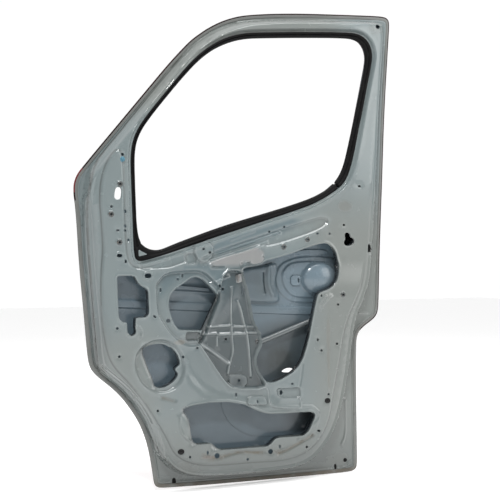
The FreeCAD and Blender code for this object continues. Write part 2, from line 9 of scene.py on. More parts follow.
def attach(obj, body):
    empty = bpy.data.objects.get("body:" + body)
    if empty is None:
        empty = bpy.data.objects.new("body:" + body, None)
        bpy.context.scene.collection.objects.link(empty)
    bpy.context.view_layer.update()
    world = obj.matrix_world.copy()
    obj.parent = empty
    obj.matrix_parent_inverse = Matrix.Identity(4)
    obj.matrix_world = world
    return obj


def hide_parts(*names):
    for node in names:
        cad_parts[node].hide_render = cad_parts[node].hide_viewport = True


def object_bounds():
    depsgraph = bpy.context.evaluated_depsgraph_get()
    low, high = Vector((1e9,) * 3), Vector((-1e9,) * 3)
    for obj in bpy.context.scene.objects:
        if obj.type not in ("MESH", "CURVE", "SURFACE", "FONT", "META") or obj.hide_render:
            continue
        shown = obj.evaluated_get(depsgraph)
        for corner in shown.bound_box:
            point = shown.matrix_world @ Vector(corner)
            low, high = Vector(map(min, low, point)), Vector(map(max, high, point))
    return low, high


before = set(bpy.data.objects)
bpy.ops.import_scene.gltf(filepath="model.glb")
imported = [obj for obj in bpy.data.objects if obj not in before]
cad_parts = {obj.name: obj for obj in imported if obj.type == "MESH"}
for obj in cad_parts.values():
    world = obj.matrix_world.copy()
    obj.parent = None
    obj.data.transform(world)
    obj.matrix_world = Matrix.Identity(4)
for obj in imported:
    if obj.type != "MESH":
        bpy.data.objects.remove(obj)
cad_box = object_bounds()

# outlines in the plane of the door, millimetres from a datum at the sill
OUTLINE = [(-66.6,1447.2),(-105,1435.5),(-136.5,1422.7),(-173.7,1402),(-201.1,1382.2),(-225.3,1362.8),(-243.1,1344.5),(-275.7,1308),(-308,1269.3),(-337.3,1232.3),(-366.5,1195.5),(-395.7,1158.7),(-424.8,1122.1),(-453.8,1085.6),(-482.8,1049.3),(-511.7,1013.1),(-537.5,980),(-553.9,959.1),(-563.2,941.3),(-568.1,920.8),(-567.7,894.5),(-563.8,871.2),(-559.7,836.1),(-555.5,789),(-551.9,735.9),(-547.1,676.7),(-541.3,617.3),(-535.7,563.7),(-531.3,515.9),(-527,468.2),(-522.8,423.3),(-519.3,396.4),(-513.9,379.5),(-506.1,366.9),(-492.9,352.2),(-471.9,334.4),(-449.2,315.2),(-429.4,296),(-412.9,277),(-398.9,258.1),(-386.1,239.2),(-374.5,220.3),(-364.4,201.6),(-356.2,182.9),(-344.2,148.9),(-335.4,112.1),(-329,72.6),(-324.4,36.3),(-321.7,18.1),(-315.6,9.8),(-301.2,5.1),(-266.6,3.9),(-194.2,1.5),(-90.4,-0.4),(40.4,-2.2),(166.9,-3.4),(257.2,-4),(342.2,-4.2),(365.6,-0.1),(376,14),(377.5,95.9),(379.6,228.1),(380.8,411.7),(383.5,440.1),(392.6,458.9),(410.4,474.4),(436,490.5),(454.4,504.8),(463.9,523.6),(466.1,560.8),(466.5,628.5),(466.4,696.2),(466.7,777.2),(466,864.7),(465.4,948.4),(462.5,1048),(458.4,1156.3),(455.1,1253.6),(452.5,1336.9),(449.8,1403.3),(447.7,1450.3),(445.4,1472),(438.4,1483.8),(422.9,1488),(393.2,1488),(284.5,1481.4),(161.3,1473.3),(89.3,1467.5),(8.7,1458.8)]
STEP = [(-483.1,1020),(-501.2,995.5),(-515.4,965.8),(-524.2,940),(-531.5,899.3),(-533.7,858.9),(-531.3,817),(-526.3,730),(-520,665.9),(-513.8,592.8),(-509.7,535.6),(-504,478.4),(-499.2,413.8),(-492.8,375.4),(-479.5,352.2),(-453.1,324.6),(-420.5,295.1),(-393.8,262.7),(-368.5,232.7),(-343.8,190.7),(-324.7,147.8),(-303.7,106.5),(-276.3,75.7),(-246.5,56.2),(-208.7,44.1),(-161.7,38.9),(-95.7,35.5),(17.8,35),(116.7,36.6),(168.2,48.3),(207.7,71.1),(242.9,106.6),(269.4,145.4),(289.6,190.8),(304.7,241.5),(321.3,312),(334.9,390.3),(343.5,461.3),(357,516.7),(380.6,567.1),(399.6,617.9),(408,690.4),(411.9,795.8),(413.1,926.9),(412.3,1072.7),(410.2,1200.5),(407.9,1310.5),(405.8,1384.9),(401.3,1433.7),(393.2,1452.8),(374.2,1459),(239.7,1448.3),(102.9,1437.1),(-16.3,1426.9),(-82.4,1415.7),(-124.4,1402.8),(-167.3,1381.3),(-203.5,1357.7),(-233.1,1332.2),(-270.9,1290.1),(-308.4,1243.1),(-351.6,1188.8),(-394.6,1133.2),(-437.5,1078)]
SEAL_OUT = [(-38.2,1390.9),(111,1405.5),(291.2,1419.5),(320.4,1415.4),(346.7,1402.3),(363.8,1382.2),(372.4,1356.6),(371.6,1328.6),(367.7,1298.1),(361.2,1245.6),(354.6,1199.8),(349.1,1159.2),(343.2,1121.7),(338,1086.7),(332.3,1052.9),(326.3,1019.9),(317.7,985.8),(304.5,954.5),(286.7,933.4),(251,909.1),(220.9,891.5),(190.5,877.1),(160.5,865.4),(103.5,846.4),(49.2,828.9),(-7,811),(-71.1,790.2),(-151.4,764.7),(-203,747.4),(-250.6,731.2),(-291.3,717.9),(-334.8,704.8),(-365.5,697.1),(-379.3,696.6),(-390.7,704.4),(-395.1,731.8),(-398.8,792.6),(-401.6,845.6),(-404.5,892.7),(-407,935.8),(-409.9,976.1),(-410.4,1015.4),(-405.5,1051.9),(-390.7,1088.3),(-368.3,1122.1),(-346.4,1152),(-324.9,1179.2),(-304.5,1204.8),(-285.4,1230),(-265.8,1254.4),(-245.7,1278.9),(-223.9,1302.5),(-199.8,1324.5),(-172.6,1344.8),(-142.3,1362.3),(-109.3,1376.1),(-74.4,1385.4)]
SEAL_IN = [(-37,1374.6),(112.5,1388.7),(275.3,1401.5),(307.9,1397.5),(331.5,1385.7),(344.7,1366.8),(349.4,1342.4),(346.2,1289.4),(337.7,1234.4),(330.8,1191.5),(325.4,1153.5),(319.3,1118.3),(313.2,1085.6),(307.7,1054.1),(301.6,1023.5),(293.6,993.4),(279.9,965.1),(259.5,940.1),(234.3,919.9),(204.6,904.5),(175.3,892.1),(119.2,873.2),(68.5,857.8),(-7.8,835.4),(-65.6,818.5),(-138.4,795.2),(-186.3,778),(-247.2,756.1),(-282.3,742.1),(-304.1,733),(-322.7,729.1),(-346,732.4),(-364.3,743.1),(-375.6,758.3),(-381.5,780.6),(-385.5,813.2),(-388.1,853.5),(-391,898.6),(-393.2,940.3),(-395.8,979.2),(-396.3,1017.1),(-391.1,1053.1),(-376.2,1087.8),(-354.2,1120),(-332.8,1148.7),(-313,1174.5),(-293.2,1199.7),(-274.5,1223.2),(-255.2,1246.5),(-235.8,1269.3),(-214.8,1291.9),(-191.5,1313),(-165.1,1332.2),(-135.9,1347.8),(-104.6,1360.5),(-71.6,1369.4)]
OPENINGS = {'hinge': [(-447,653.4),(-399,653.8),(-390,636.5),(-382.9,628.9),(-360.8,614.6),(-355.8,607.6),(-352.2,543.3),(-357.1,533.5),(-366.9,531.4),(-388.3,531.1),(-393.2,527.4),(-394.9,498.3),(-391.5,489.2),(-394.2,481),(-403.4,476),(-411.9,481),(-415.5,491.2),(-416.2,515.6),(-428,517.1),(-437,522.1),(-441,533.7),(-444.3,588.5)], 'front': [(-282.6,586.5),(-274.9,600.8),(-261.2,613.3),(-235.1,629.9),(-213,645.4),(-196.7,647.7),(-181.5,641.4),(-167.7,629),(-127.6,587.4),(-156.4,531.1),(-178.9,485.2),(-254.6,489.2),(-268.6,507.8),(-278.8,536.8),(-284.6,561.1)], 'speaker': [(-364.6,428.6),(-361.8,437.5),(-342.1,446),(-318.8,448),(-297.3,444.5),(-277.9,432.9),(-262.2,414.1),(-254,393.7),(-254,382.2),(-265.7,375.6),(-269.9,368.2),(-264.9,361.3),(-259.2,354.7),(-264.3,343.5),(-280.2,328.1),(-299.6,318.9),(-322.7,316.4),(-330.1,323.9),(-334.3,344.2),(-345.9,371.1),(-354.5,393),(-364,419.7)], 'pocket': [(-242.8,240.6),(-235.1,250.1),(-217.5,256.8),(-191.8,259.7),(-157.5,262.7),(-99.4,260.9),(-71,255.4),(-42.4,248.7),(-11.1,231.8),(21.9,219),(39.5,215),(87.7,213.4),(150.5,212.7),(178.7,212.7),(190.7,209),(195.8,199.1),(189.8,186.5),(177.6,165.2),(166.6,150.1),(153.3,142),(131.2,141.4),(68.8,141.8),(56.3,138.4),(46.5,130.8),(37.4,120.9),(26,117.5),(-45,118.2),(-104,118.4),(-128.2,119.2),(-138.5,123.9),(-150.3,136.1),(-161.5,141.2),(-190.5,141.4),(-206.5,141.7),(-212.8,148.2),(-216.8,169.9),(-219,195.3),(-225,217.4),(-233.7,232.5)], 'rear': [(27,695.5),(79.1,708.5),(120.8,719.8),(158.7,733.2),(203.3,747.3),(232.8,752.2),(244.4,750.3),(261,737.4),(272.4,720.9),(277.6,700.8),(284,681.3),(282.1,653.7),(276.3,632),(263.2,615.6),(246.4,605.8),(215.6,595.4),(205.1,584.3),(198.3,556.4),(185.3,495.6),(177.6,455.7),(168,422.4),(156.2,387.7),(141,363.2),(121.5,344.1),(82.4,324),(53.7,315.4),(31.8,315.7),(24.7,322.6),(8.3,350.4),(-0.1,372.7),(0.7,391.5),(6.9,408.4),(16.4,426.9),(19.1,444),(10.9,472),(-2.4,494.1),(-10.9,514.1),(-15.8,542.4),(-21.5,570.7),(-30.7,609.6),(-41.9,641.3),(-48.6,664.1),(-47.1,671.2),(-38.1,675.2),(-14.7,678.8),(11.9,684.9)], 'slot': [(-454.2,913),(-446.8,914.4),(-440.7,911.1),(-438.7,901.5),(-440.6,880.1),(-447.2,878.6),(-455.2,879),(-459.2,884.4),(-457.8,901)], 'lock': [(306.3,786.5),(320.6,786.6),(324.4,771.7),(337,768.5),(338.3,752.9),(321.6,745),(305.5,745),(302.9,758.3),(309.3,764.5),(305.6,774.2)]}
REGULATOR = [(-111.3,668.3),(-48.7,667.2),(-41.9,641.3),(-30.7,609.6),(-21.5,570.7),(-15.8,542.4),(-10.9,514.1),(-2.4,494.1),(10.9,472),(19.1,444),(16.4,426.9),(6.9,408.4),(0.7,391.5),(-0.1,372.7),(8.3,350.4),(24.7,322.6),(31.5,293.4),(-71.4,299.3),(-91.9,309.1),(-113.1,333.4),(-135.8,366.8),(-155.2,395.4),(-174.6,423.8),(-190.7,444.3),(-186.2,450.5),(-178.9,485.2),(-156.4,531.1),(-127.6,587.4)]
PALE = [(-163.2,690.5),(-138.4,702.4),(-76,718.6),(10.5,744.7),(24.5,696.7),(-13.8,682.5),(-29.4,689.8),(-50.2,689.9),(-82.8,678.3),(-110.5,680.7),(-159.1,676.4)]
SHADE_BELT = [(-164.6,730),(-132.6,756.1),(-87.1,770.1),(12.4,800.3),(114.4,828.2),(149.6,822.3),(81.4,780.5),(13.6,758.2),(-86,726.9),(-128.4,711.6)]
SHADE_FRONT = [(-315.5,658),(-253.2,681.6),(-173.6,693.3),(-104.8,674.5),(-84.4,637.1),(-110.2,588),(-149.6,607.2),(-189,650.7),(-252.6,639.2),(-314.7,579.9)]
SHADE_TOP = [(-94.9,674.4),(-25.2,684.8),(-4.8,673.7),(-17.5,623.8),(-37.3,599.1),(-103.6,587.9),(-117.1,619)]
NOTCH = [(-228.6,480.1),(-182.7,477.3),(-182.4,451.6),(-228.5,452.1)]
CORNER = [(399.3,751.1),(408.3,752.4),(415.7,733.3),(427.1,728),(425.9,720.8),(401,721.4)]
MPLATE = [(-500,900),(-468,970),(-426,1000),(-421,955),(-424,735),(-478,735),(-500,820)]
GUSSET = [(-380.6,731.2),(-352.2,716.8),(-379.7,710.3)]
STEPS = [([(-454.8,1021.2),(-471.4,1000.4),(-485.7,971.1),(-494.4,940.9),(-498.4,910.2),(-498.6,872.6),(-494.9,834.9),(-490.6,788.4),(-486.8,730),(-492,665.6),(-491,571.8),(-484.5,495.3),(-472.5,430.2),(-454.6,388.2),(-410.5,341.7),(-385.5,311.3),(-356.7,273.4),(-335.2,239.3),(-312.7,202.1),(-292.7,164),(-275.2,126.6),(-259.5,108.7),(-231.8,91.4),(-195.1,79.3),(-150.1,73.3),(-4.7,71.9),(73.5,68.3),(136.2,77.1),(179,95.5),(213.8,126),(238.2,164),(252.5,203),(259.9,244.3),(273.7,308),(289,378.6),(301.9,453),(318.2,507.9),(347.1,566.2),(368.6,615.1),(378.3,680.7),(383.2,762.8),(382.1,877.3),(368.8,919.3),(335.3,924.9),(303.4,904.8),(247,873.2),(142.1,834.9),(-10.8,786.1),(-190.2,725.4),(-346.7,674.8),(-389.5,670.6),(-417.1,694.5),(-425.5,759.5),(-430.7,876.8),(-436.1,978.6),(-443.1,1015.9)],6,11),([(-327.6,623.7),(-319.3,637),(-303.7,654),(-281.9,662.5),(-245.7,664.9),(-189.2,667.5),(-159.9,650.3),(-110.3,597.3),(-145.6,521),(-168.1,454.1),(-187.5,436.5),(-232.3,436.8),(-276.7,470.3),(-308.1,516.5),(-320.7,540.9),(-324.8,598.1)],-13,9),([(-373.4,438.8),(-389,415.7),(-391.2,385.2),(-381.6,350.9),(-360,319.4),(-321,300.1),(-283.5,303.3),(-251.8,324.1),(-235.7,362.6),(-240.3,408.3),(-264,442.6),(-298.6,460.5),(-339,459)],-8,10),([(-257.7,463.5),(-190.7,445.8),(-57.1,574.5),(-38.4,672.4),(17.8,447.2),(37.6,317.5),(64.7,284.6),(64.2,250.1),(-41,256.6),(-139.8,275.1),(-204.1,321.5),(-242,390.2)],-6,40),([(-237.9,714.9),(-225.3,719.1),(-202.9,717.8),(-199.3,693.5),(-208.8,687.4),(-231.1,688.1)],-5,5),([(-38.1,249),(-29,274.5),(24.8,271.3),(33.2,244.5)],6.5,4),([(64.4,292.2),(148.3,291.2),(146.1,259.6),(72.7,264)],-6,5),([(392.5,751.7),(431.2,751.8),(432.4,716.1),(393.7,716.2)],-3,3),([(-89.5,334.3),(-79.5,341.2),(-35.9,339),(-25.9,327.8),(-27.8,309.1),(-39.6,300.4),(-76.5,302.5),(-88.4,312.5)],7,6),([(-202.7,702.6),(-86.4,742.4),(74,794.6),(205.7,834.1),(234.2,836.1),(249.2,820.2),(207.2,790.9),(82.2,752.1),(34.4,741),(13.9,745.7),(-72.7,722.3),(-163.9,693.3)],-6,9),([(-203.7,754.9),(-171.7,760.5),(-148.6,742.3),(-146.7,711.6),(-167.1,693.3),(-197.8,698),(-211.4,723.9)],8,6),([(-377.6,692.9),(-291.4,712),(-235,730),(-231.2,693.6),(-284.6,675.8),(-371.2,670.5)],-4,8),([(43.4,240.4),(189.8,234.3),(217.8,208.5),(202.3,158.6),(169.3,123.1),(127.2,124.8),(217.5,195.8)],2,6),([(-491.3,996.8),(-453.6,1019.8),(-440.6,978.4),(-437.9,862.1),(-482.3,855.5),(-490.7,904.6)],-1,10),([(-228.6,480.1),(-182.7,477.3),(-182.4,451.6),(-228.5,452.1)],-13,3)]
CREASES = [[(186,137.6),(151.7,122.3),(91,97),(67.7,91.5)],[(-184.9,102.4),(-152.8,95.2),(-115,96.6),(-86.6,102.7),(-58,106.4),(-26.1,100.8),(12.9,97.5)],[(-305.5,285.7),(-289.9,281.8),(-274.3,274.8)]]
BEADS = [([(-156.1,492.7),(-122.3,492.9),(-82.6,494.1)],4.5,5),([(-70.9,490.7),(-35.6,489.5)],4.5,5),([(-26.8,489.9),(-0,488.4)],4.5,5),([(-168.8,470.3),(-128.8,470.8)],5.5,5.5),([(-122.6,468.1),(-82.5,468.2)],5.5,5.5),([(-70.8,468.5),(-33.5,467.5)],5.5,5.5),([(-23.7,470.6),(9.2,469.5)],5.5,5.5),([(-80.9,609.3),(-81.8,574.1),(-80.8,542.8),(-78.2,469),(-71.8,415.1),(-87,372.1),(-91.4,346.8)],4.5,5.5),([(-57,567.3),(-46.7,542),(-35.6,495.5),(-24.7,461.2),(-18.7,400.9),(-14.3,334.4)],4.5,5.5),([(-126.5,466.3),(-126.5,433.2)],4,4),([(-179.2,439.9),(-132.6,408.1),(-87.4,375.1)],6,5),([(-151.2,626.9),(-123.9,636.1),(-97.8,646.6)],4.5,3.5),([(-313,286.8),(-296.2,282.8),(-273.1,274.8)],5,-3),([(-391.3,507.1),(-377.5,499.5),(-369.8,485.5),(-372.9,473.7)],4,3),([(-90.2,762.1),(-14.3,789.2)],5,3.5),([(-141.6,717.7),(-59.9,742.4),(70.9,783.6)],4.5,4),([(-72.6,718.9),(-26.3,733.1),(30.7,752.6)],5,4),([(156.1,365.4),(152.3,330.5),(144.9,296.8)],4,-2.5),([(337.5,232.3),(338.1,169.7),(335.3,115.2),(320.2,87.3)],4,2.5),([(-253.8,221.8),(-255.1,195.5),(-246.4,172.1),(-230.5,155.6),(-210.3,145.3)],4,3),([(216.1,559.2),(237.4,581.4)],3.5,2.5),([(227,552.5),(251.9,577.9)],3.5,2.5),([(-112.9,250),(-53.2,240),(0.4,221),(34.2,207.4)],4,3),([(326.9,12.9),(351.6,31.5)],3,2.5),([(392.4,519),(424,517.2)],3,2),([(64,94),(109.2,105.9),(180.4,138)],4,2),([(32.2,294.3),(38.3,286.1),(37.4,251.7),(46.8,237.1),(91.5,231.4),(140.2,227.6)],4,4.5),([(142.9,258.5),(149.1,251.1),(145.9,229.1)],3.5,3),([(186,137.6),(151.7,122.3),(91,97),(67.7,91.5)],5,-3.5),([(-115,96.6),(-86.6,102.7),(-58,106.4),(-26.1,100.8),(12.9,97.5)],5,-3)]
HOLES = [(-436.7,1009.5,4.5,4.3,0),(-443.1,922.9,4.2,4,0),(-467.3,856.9,3.9,3.7,0),(-468.3,834.4,4.2,4,0),(-441.9,752.9,4.2,4,0),(-424.9,844.2,3.2,5.3,20),(-424.1,801,2.9,4.7,15),(-423.9,787.5,3.6,3.4,0),(-447,787.6,4.9,2.8,0),(-413.5,759.5,2.9,4.3,0),(-441.1,713.5,8.1,5,0),(-421.9,696.3,2.9,5.6,0),(-354.1,653.3,10.4,7.1,0),(-445.7,499,3.9,3.7,0),(-439.6,415.5,3.9,3.7,0),(-332.1,530.7,5.5,2.8,-45),(-311,609.3,2.6,5.6,0),(-242,651.2,2.6,5.6,0),(-256.4,641.1,3.9,3.7,0),(-286.2,515.9,6.5,6.2,0),(-181.1,733.1,3.9,3.7,0),(-160.5,722.3,4.2,4,0),(-125,619.1,2.9,5,20),(-109.4,608.7,4.5,4.3,0),(206.4,782.9,3.9,3.7,0),(250.2,782.6,3.6,3.4,0),(300.6,811.4,3.9,3.7,0),(38.3,787.7,3.6,3.4,0),(89.3,802.6,3.6,3.4,0),(-241,405.3,3.9,3.7,0),(-195.6,430.7,3.6,3.4,0),(-323.3,248.4,3.6,3.4,0),(-252.7,121.5,8.1,5.3,0),(-224.5,103.4,3.6,3.4,0),(-167.6,111.8,2.9,5.6,0),(-137.8,100,8.5,8.1,0),(-37.3,80.9,3.9,3.7,0),(40.1,98.1,8.1,7.8,0),(72.7,110.7,2.6,5.3,0),(166.2,102.5,3.9,3.7,0),(243.3,244.3,6.8,5,0),(247.7,264.3,3.6,3.4,0),(210.2,149.8,5.9,3.1,-20),(283,553.2,3.9,3.7,0),(279.7,425.8,3.9,3.7,0),(223.6,406.3,3.9,3.7,0),(210.4,441.4,2.9,4.7,0),(222.6,583,2.6,4,0),(299.8,584.8,3.9,3.7,0),(88.7,739.8,3.9,3.7,0),(170.9,763.5,3.9,3.7,0),(119.7,304.5,4.2,2.8,0),(-1.9,256.7,2.6,4.7,0),(82.9,278.5,4.9,7.4,0),(351.6,937.6,5.2,3.1,0),(379.3,1443.6,7.2,6.8,0),(-56,322.8,4.2,4,0),(-96.4,452.6,3.9,3.7,0),(9.4,440.2,3.2,3.1,0),(-40.5,600.8,2.9,9.9,0),(-70,280.3,2.6,5.9,0),(331.9,34.4,6.8,6.5,0),(-259.1,21.6,6.2,9.3,0),(294.8,16.5,4.5,8.4,0)]
BOSSES = [(-443.1,922.9,8.5,2),(-468.3,834.4,9.1,2.5),(-441.9,752.9,8.8,2.5),(88.7,739.8,8.5,2.5),(299.8,584.8,8.5,2),(170.9,763.5,7.6,2),(-354.1,653.3,14.5,2.5),(-441.1,713.5,11.3,1.5)]
NUT_SPOTS = [(-443.1,922.9),(-468.3,834.4),(-441.9,752.9)]
SKIN_STEPS = [([(85.1,639.9),(94.9,597.8),(128.8,568.1),(158.1,559.3),(281.7,555),(340.8,580.3),(358.6,636.7),(338.7,683.5),(278.7,708.6),(169.8,708.9),(116.8,692.9),(92.6,672)],5,7),([(103.8,639.8),(115.2,605.7),(145.4,577.7),(217.3,573),(279.4,573.4),(319.8,597.5),(332.1,637.1),(312.8,670.5),(258.8,690.6),(168.3,692.7),(129.4,684.8),(110,663.6)],6,7),([(154.9,731.3),(269.6,733.3),(270.2,712.6),(155.4,711.8)],5,4)]
SKIN_BEADS = [([(-553.5,576.1),(-393,566.6),(-169.7,552.2),(39.9,539.3),(246.7,527.6),(468.7,520.2)],16,5.5),([(-261.2,619.2),(-203,615.2),(-143.8,608)],4,3.5),([(-261,603.7),(-202.8,599.6),(-130.4,593.7)],4,3)]
BOWL = (213.3,637.7)
SKIN_HOLES = [[(106,334.3),(114.6,342.3),(126,346.9),(140.2,347.2),(151.6,342.1),(158.7,335.9),(157.9,331.7)],[(-444,927.5),(-431.9,929.7),(-422,924.3),(-418.7,908.7),(-421.9,873.7),(-432.6,871.1),(-445.7,871.8),(-452.2,880.7),(-449.9,907.9)]]
HP = [(-20.4,663.5),(6.8,671.5),(37.6,678.9),(82.5,693.1),(91.7,672.2),(83.7,633.6),(89.4,601.4),(102,578.6),(95.2,559.4),(49.8,558.8),(3.1,564.6),(-7.6,603)]
HPB = [(56.3,679.8),(56.7,621.2),(63.2,601.8),(73.9,582.4)]
HPS = [(39.7,659.8),(41.3,624.6),(46.7,590.2)]
SQ = [(133.2,649.3),(171,648.9),(171.6,613.1),(133.8,613.7)]
STIFF = [(-100.9,245.7),(-91.3,215.7),(-78.3,193),(-61.8,174.3),(-35.8,155.8),(-1.3,140.3),(42.7,134.5),(81.7,133.1),(141.7,134),(170.7,151.1),(179.1,202.1),(165.7,248.3),(39.1,275.1),(-83.8,276)]
PLUG = (-438.3,995.2)
CLIPP = (-53.9,642.4)
BUNGS = [(-253,121.8),(242.8,244.5)]
TNUTS = [(88.3,739.8),(299.2,584.8),(170.4,763.5)]
RNUT = (9.4,440.2)
OX, OY, OZ = 530.0, 37.0, 700.0
RB, ZB = 5100.0, 440.0


def pos(x, z, d):
    """Row-frame metres of a point at depth d under the outer face."""
    y = np.sqrt((RB - d) ** 2 - (z - ZB) ** 2) - RB
    return np.stack([(x + OX) / 1000, (y + OY) / 1000, (z - OZ) / 1000], -1)


# ------------------------------------------------------------------ 2-D helpers
def ccw(p):
    p = np.asarray(p, float)
    x, y = p[:, 0], p[:, 1]
    a = np.sum(x * np.roll(y, -1) - np.roll(x, -1) * y)
    return p if a > 0 else p[::-1].copy()


def chaikin(p, n=2, closed=True):
    p = np.asarray(p, float)
    for _ in range(n):
        q = np.roll(p, -1, 0) if closed else p[1:]
        b = p if closed else p[:-1]
        out = np.empty((len(b) * 2, 2))
        out[0::2] = 0.75 * b + 0.25 * q
        out[1::2] = 0.25 * b + 0.75 * q
        if not closed:
            out = np.vstack([p[:1], out, p[-1:]])
        p = out
    return p


def resample(p, step, closed=True):
    p = np.asarray(p, float)
    q = np.vstack([p, p[:1]]) if closed else p
    s = np.concatenate([[0], np.cumsum(np.hypot(*np.diff(q, axis=0).T))])
    n = max(3, int(round(s[-1] / step)))
    u = np.linspace(0, s[-1], n + (0 if closed else 1), endpoint=not closed)
    return np.stack([np.interp(u, s, q[:, 0]), np.interp(u, s, q[:, 1])], 1)


def shift(p, dist):
    """A counter-clockwise loop moved outward by dist."""
    a = p - np.roll(p, 1, 0)
    b = np.roll(p, -1, 0) - p
    n1 = np.stack([a[:, 1], -a[:, 0]], 1)
    n2 = np.stack([b[:, 1], -b[:, 0]], 1)
    n1 /= np.maximum(1e-9, np.hypot(*n1.T))[:, None]
    n2 /= np.maximum(1e-9, np.hypot(*n2.T))[:, None]
    m = n1 + n2
    m /= np.maximum(1e-9, np.hypot(*m.T))[:, None]
    k = dist / np.maximum(0.55, np.sum(m * n1, 1))
    return p + m * k[:, None]


def line_dist(P, line, closed):
    q = np.asarray(line, float)
    A = q if closed else q[:-1]
    B = np.roll(q, -1, 0) if closed else q[1:]
    best = np.full(len(P), 1e18)
    for a, b in zip(A, B):
        ab = b - a
        L = ab @ ab
        if L < 1e-12:
            continue
        t = np.clip(((P - a) @ ab) / L, 0, 1)
        dx = P[:, 0] - a[0] - t * ab[0]
        dy = P[:, 1] - a[1] - t * ab[1]
        np.minimum(best, dx * dx + dy * dy, out=best)
    return np.sqrt(best)


def inside(P, poly):
    q = np.asarray(poly, float)
    r = np.zeros(len(P), bool)
    x, y = P[:, 0], P[:, 1]
    for (x1, y1), (x2, y2) in zip(q, np.roll(q, -1, 0)):
        if y1 == y2:
            continue
        c = (y1 > y) != (y2 > y)
        r ^= c & (x < (x2 - x1) * (y - y1) / (y2 - y1) + x1)
    return r


def near_box(P, poly, m):
    q = np.asarray(poly, float)
    lo, hi = q.min(0) - m, q.max(0) + m
    return np.all((P > lo) & (P < hi), 1)


def sdist(P, poly, m=80.0):
    """Distance to a closed loop, positive inside; far points get -m."""
    out = np.full(len(P), -m)
    k = near_box(P, poly, m)
    if k.any():
        Q = P[k]
        d = line_dist(Q, poly, True)
        out[k] = np.where(inside(Q, poly), d, -d)
    return out


def smooth(t):
    t = np.clip(t, 0, 1)
    return t * t * (3 - 2 * t)


def ellipse(x, z, a, b, tilt):
    n = 14 if max(a, b) < 5 else 20
    k = np.arange(n) * 2 * math.pi / n
    # a rounded slot where the two half sizes differ
    ex, ez = np.cos(k), np.sin(k)
    if abs(a - b) > 0.6:
        r = min(a, b)
        px, pz = ex * r, ez * r
        if a > b:
            px = px + np.sign(ex) * (a - r)
        else:
            pz = pz + np.sign(ez) * (b - r)
    else:
        px, pz = ex * a, ez * b
    t = math.radians(tilt)
    return ccw(np.stack([x + px * math.cos(t) - pz * math.sin(t), z + px * math.sin(t) + pz * math.cos(t)], 1))


def bevel(p, cut=4.0):
    """Corners of a loop cut back a little, so they stay crisp but not needle sharp."""
    p = np.asarray(p, float)
    a, b = np.roll(p, 1, 0) - p, np.roll(p, -1, 0) - p
    la, lb = np.hypot(*a.T)[:, None], np.hypot(*b.T)[:, None]
    q = np.empty((len(p) * 2, 2))
    q[0::2] = p + a / la * np.minimum(cut, 0.3 * la)
    q[1::2] = p + b / lb * np.minimum(cut, 0.3 * lb)
    return q


OUT = resample(chaikin(ccw(OUTLINE), 2), 6.0)
STP = resample(chaikin(ccw(STEP), 2), 6.0)
SEO = resample(chaikin(ccw(SEAL_OUT), 2), 5.0)
SEI = resample(chaikin(ccw(SEAL_IN), 2), 5.0)
REG = resample(chaikin(ccw(REGULATOR), 1), 5.0)


OPN = {k: resample(bevel(ccw(v)), 3.7 if k not in ("slot", "lock") else 2.5) for k, v in OPENINGS.items()}
corner = ccw(CORNER)
corner = corner.mean(0) + (corner - corner.mean(0)) * (0.72, 0.85) - (9.0, 0.0)
HOL = [ellipse(*h) for h in HOLES] + [resample(corner, 3.0)]
STEPL = [(resample(chaikin(ccw(p), 2) if len(p) > 8 else bevel(ccw(p), 6.0), 4.0 if len(p) <= 8 else 5.0), d, w) for p, d, w in STEPS]
BEADL = [(chaikin(p, 2, False) if len(p) > 2 else np.asarray(p, float), w, h) for p, w, h in BEADS]


PAL = resample(chaikin(ccw(PALE), 1), 4.0)
PAL_TOP = np.array(PALE[:4])
PAL_LOW = np.array(PALE[4:])
SKH = [resample(chaikin(ccw(h), 2), 2.5) for h in SKIN_HOLES]


def facing(P, poly):
    """How far the nearest part of an opening's edge lies to the rear and below, and to the front."""
    nrm = shift(poly, 1.0) - poly
    nrm /= np.hypot(*nrm.T)[:, None]
    nrm = (np.roll(nrm, 1, 0) + nrm + np.roll(nrm, -1, 0)) / 3
    j = np.argmin((P[:, None, 0] - poly[None, :, 0]) ** 2 + (P[:, None, 1] - poly[None, :, 1]) ** 2, 1)
    n = nrm[j]
    return np.clip(1.7 * (n @ np.array([0.88, -0.47])) - 0.15, 0, 1), np.clip(-2.2 * n[:, 0] - 0.7, 0, 1)


# ------------------------------------------------------------------ the pressing's relief
FLANGE, FACE = 3.5, 56.5


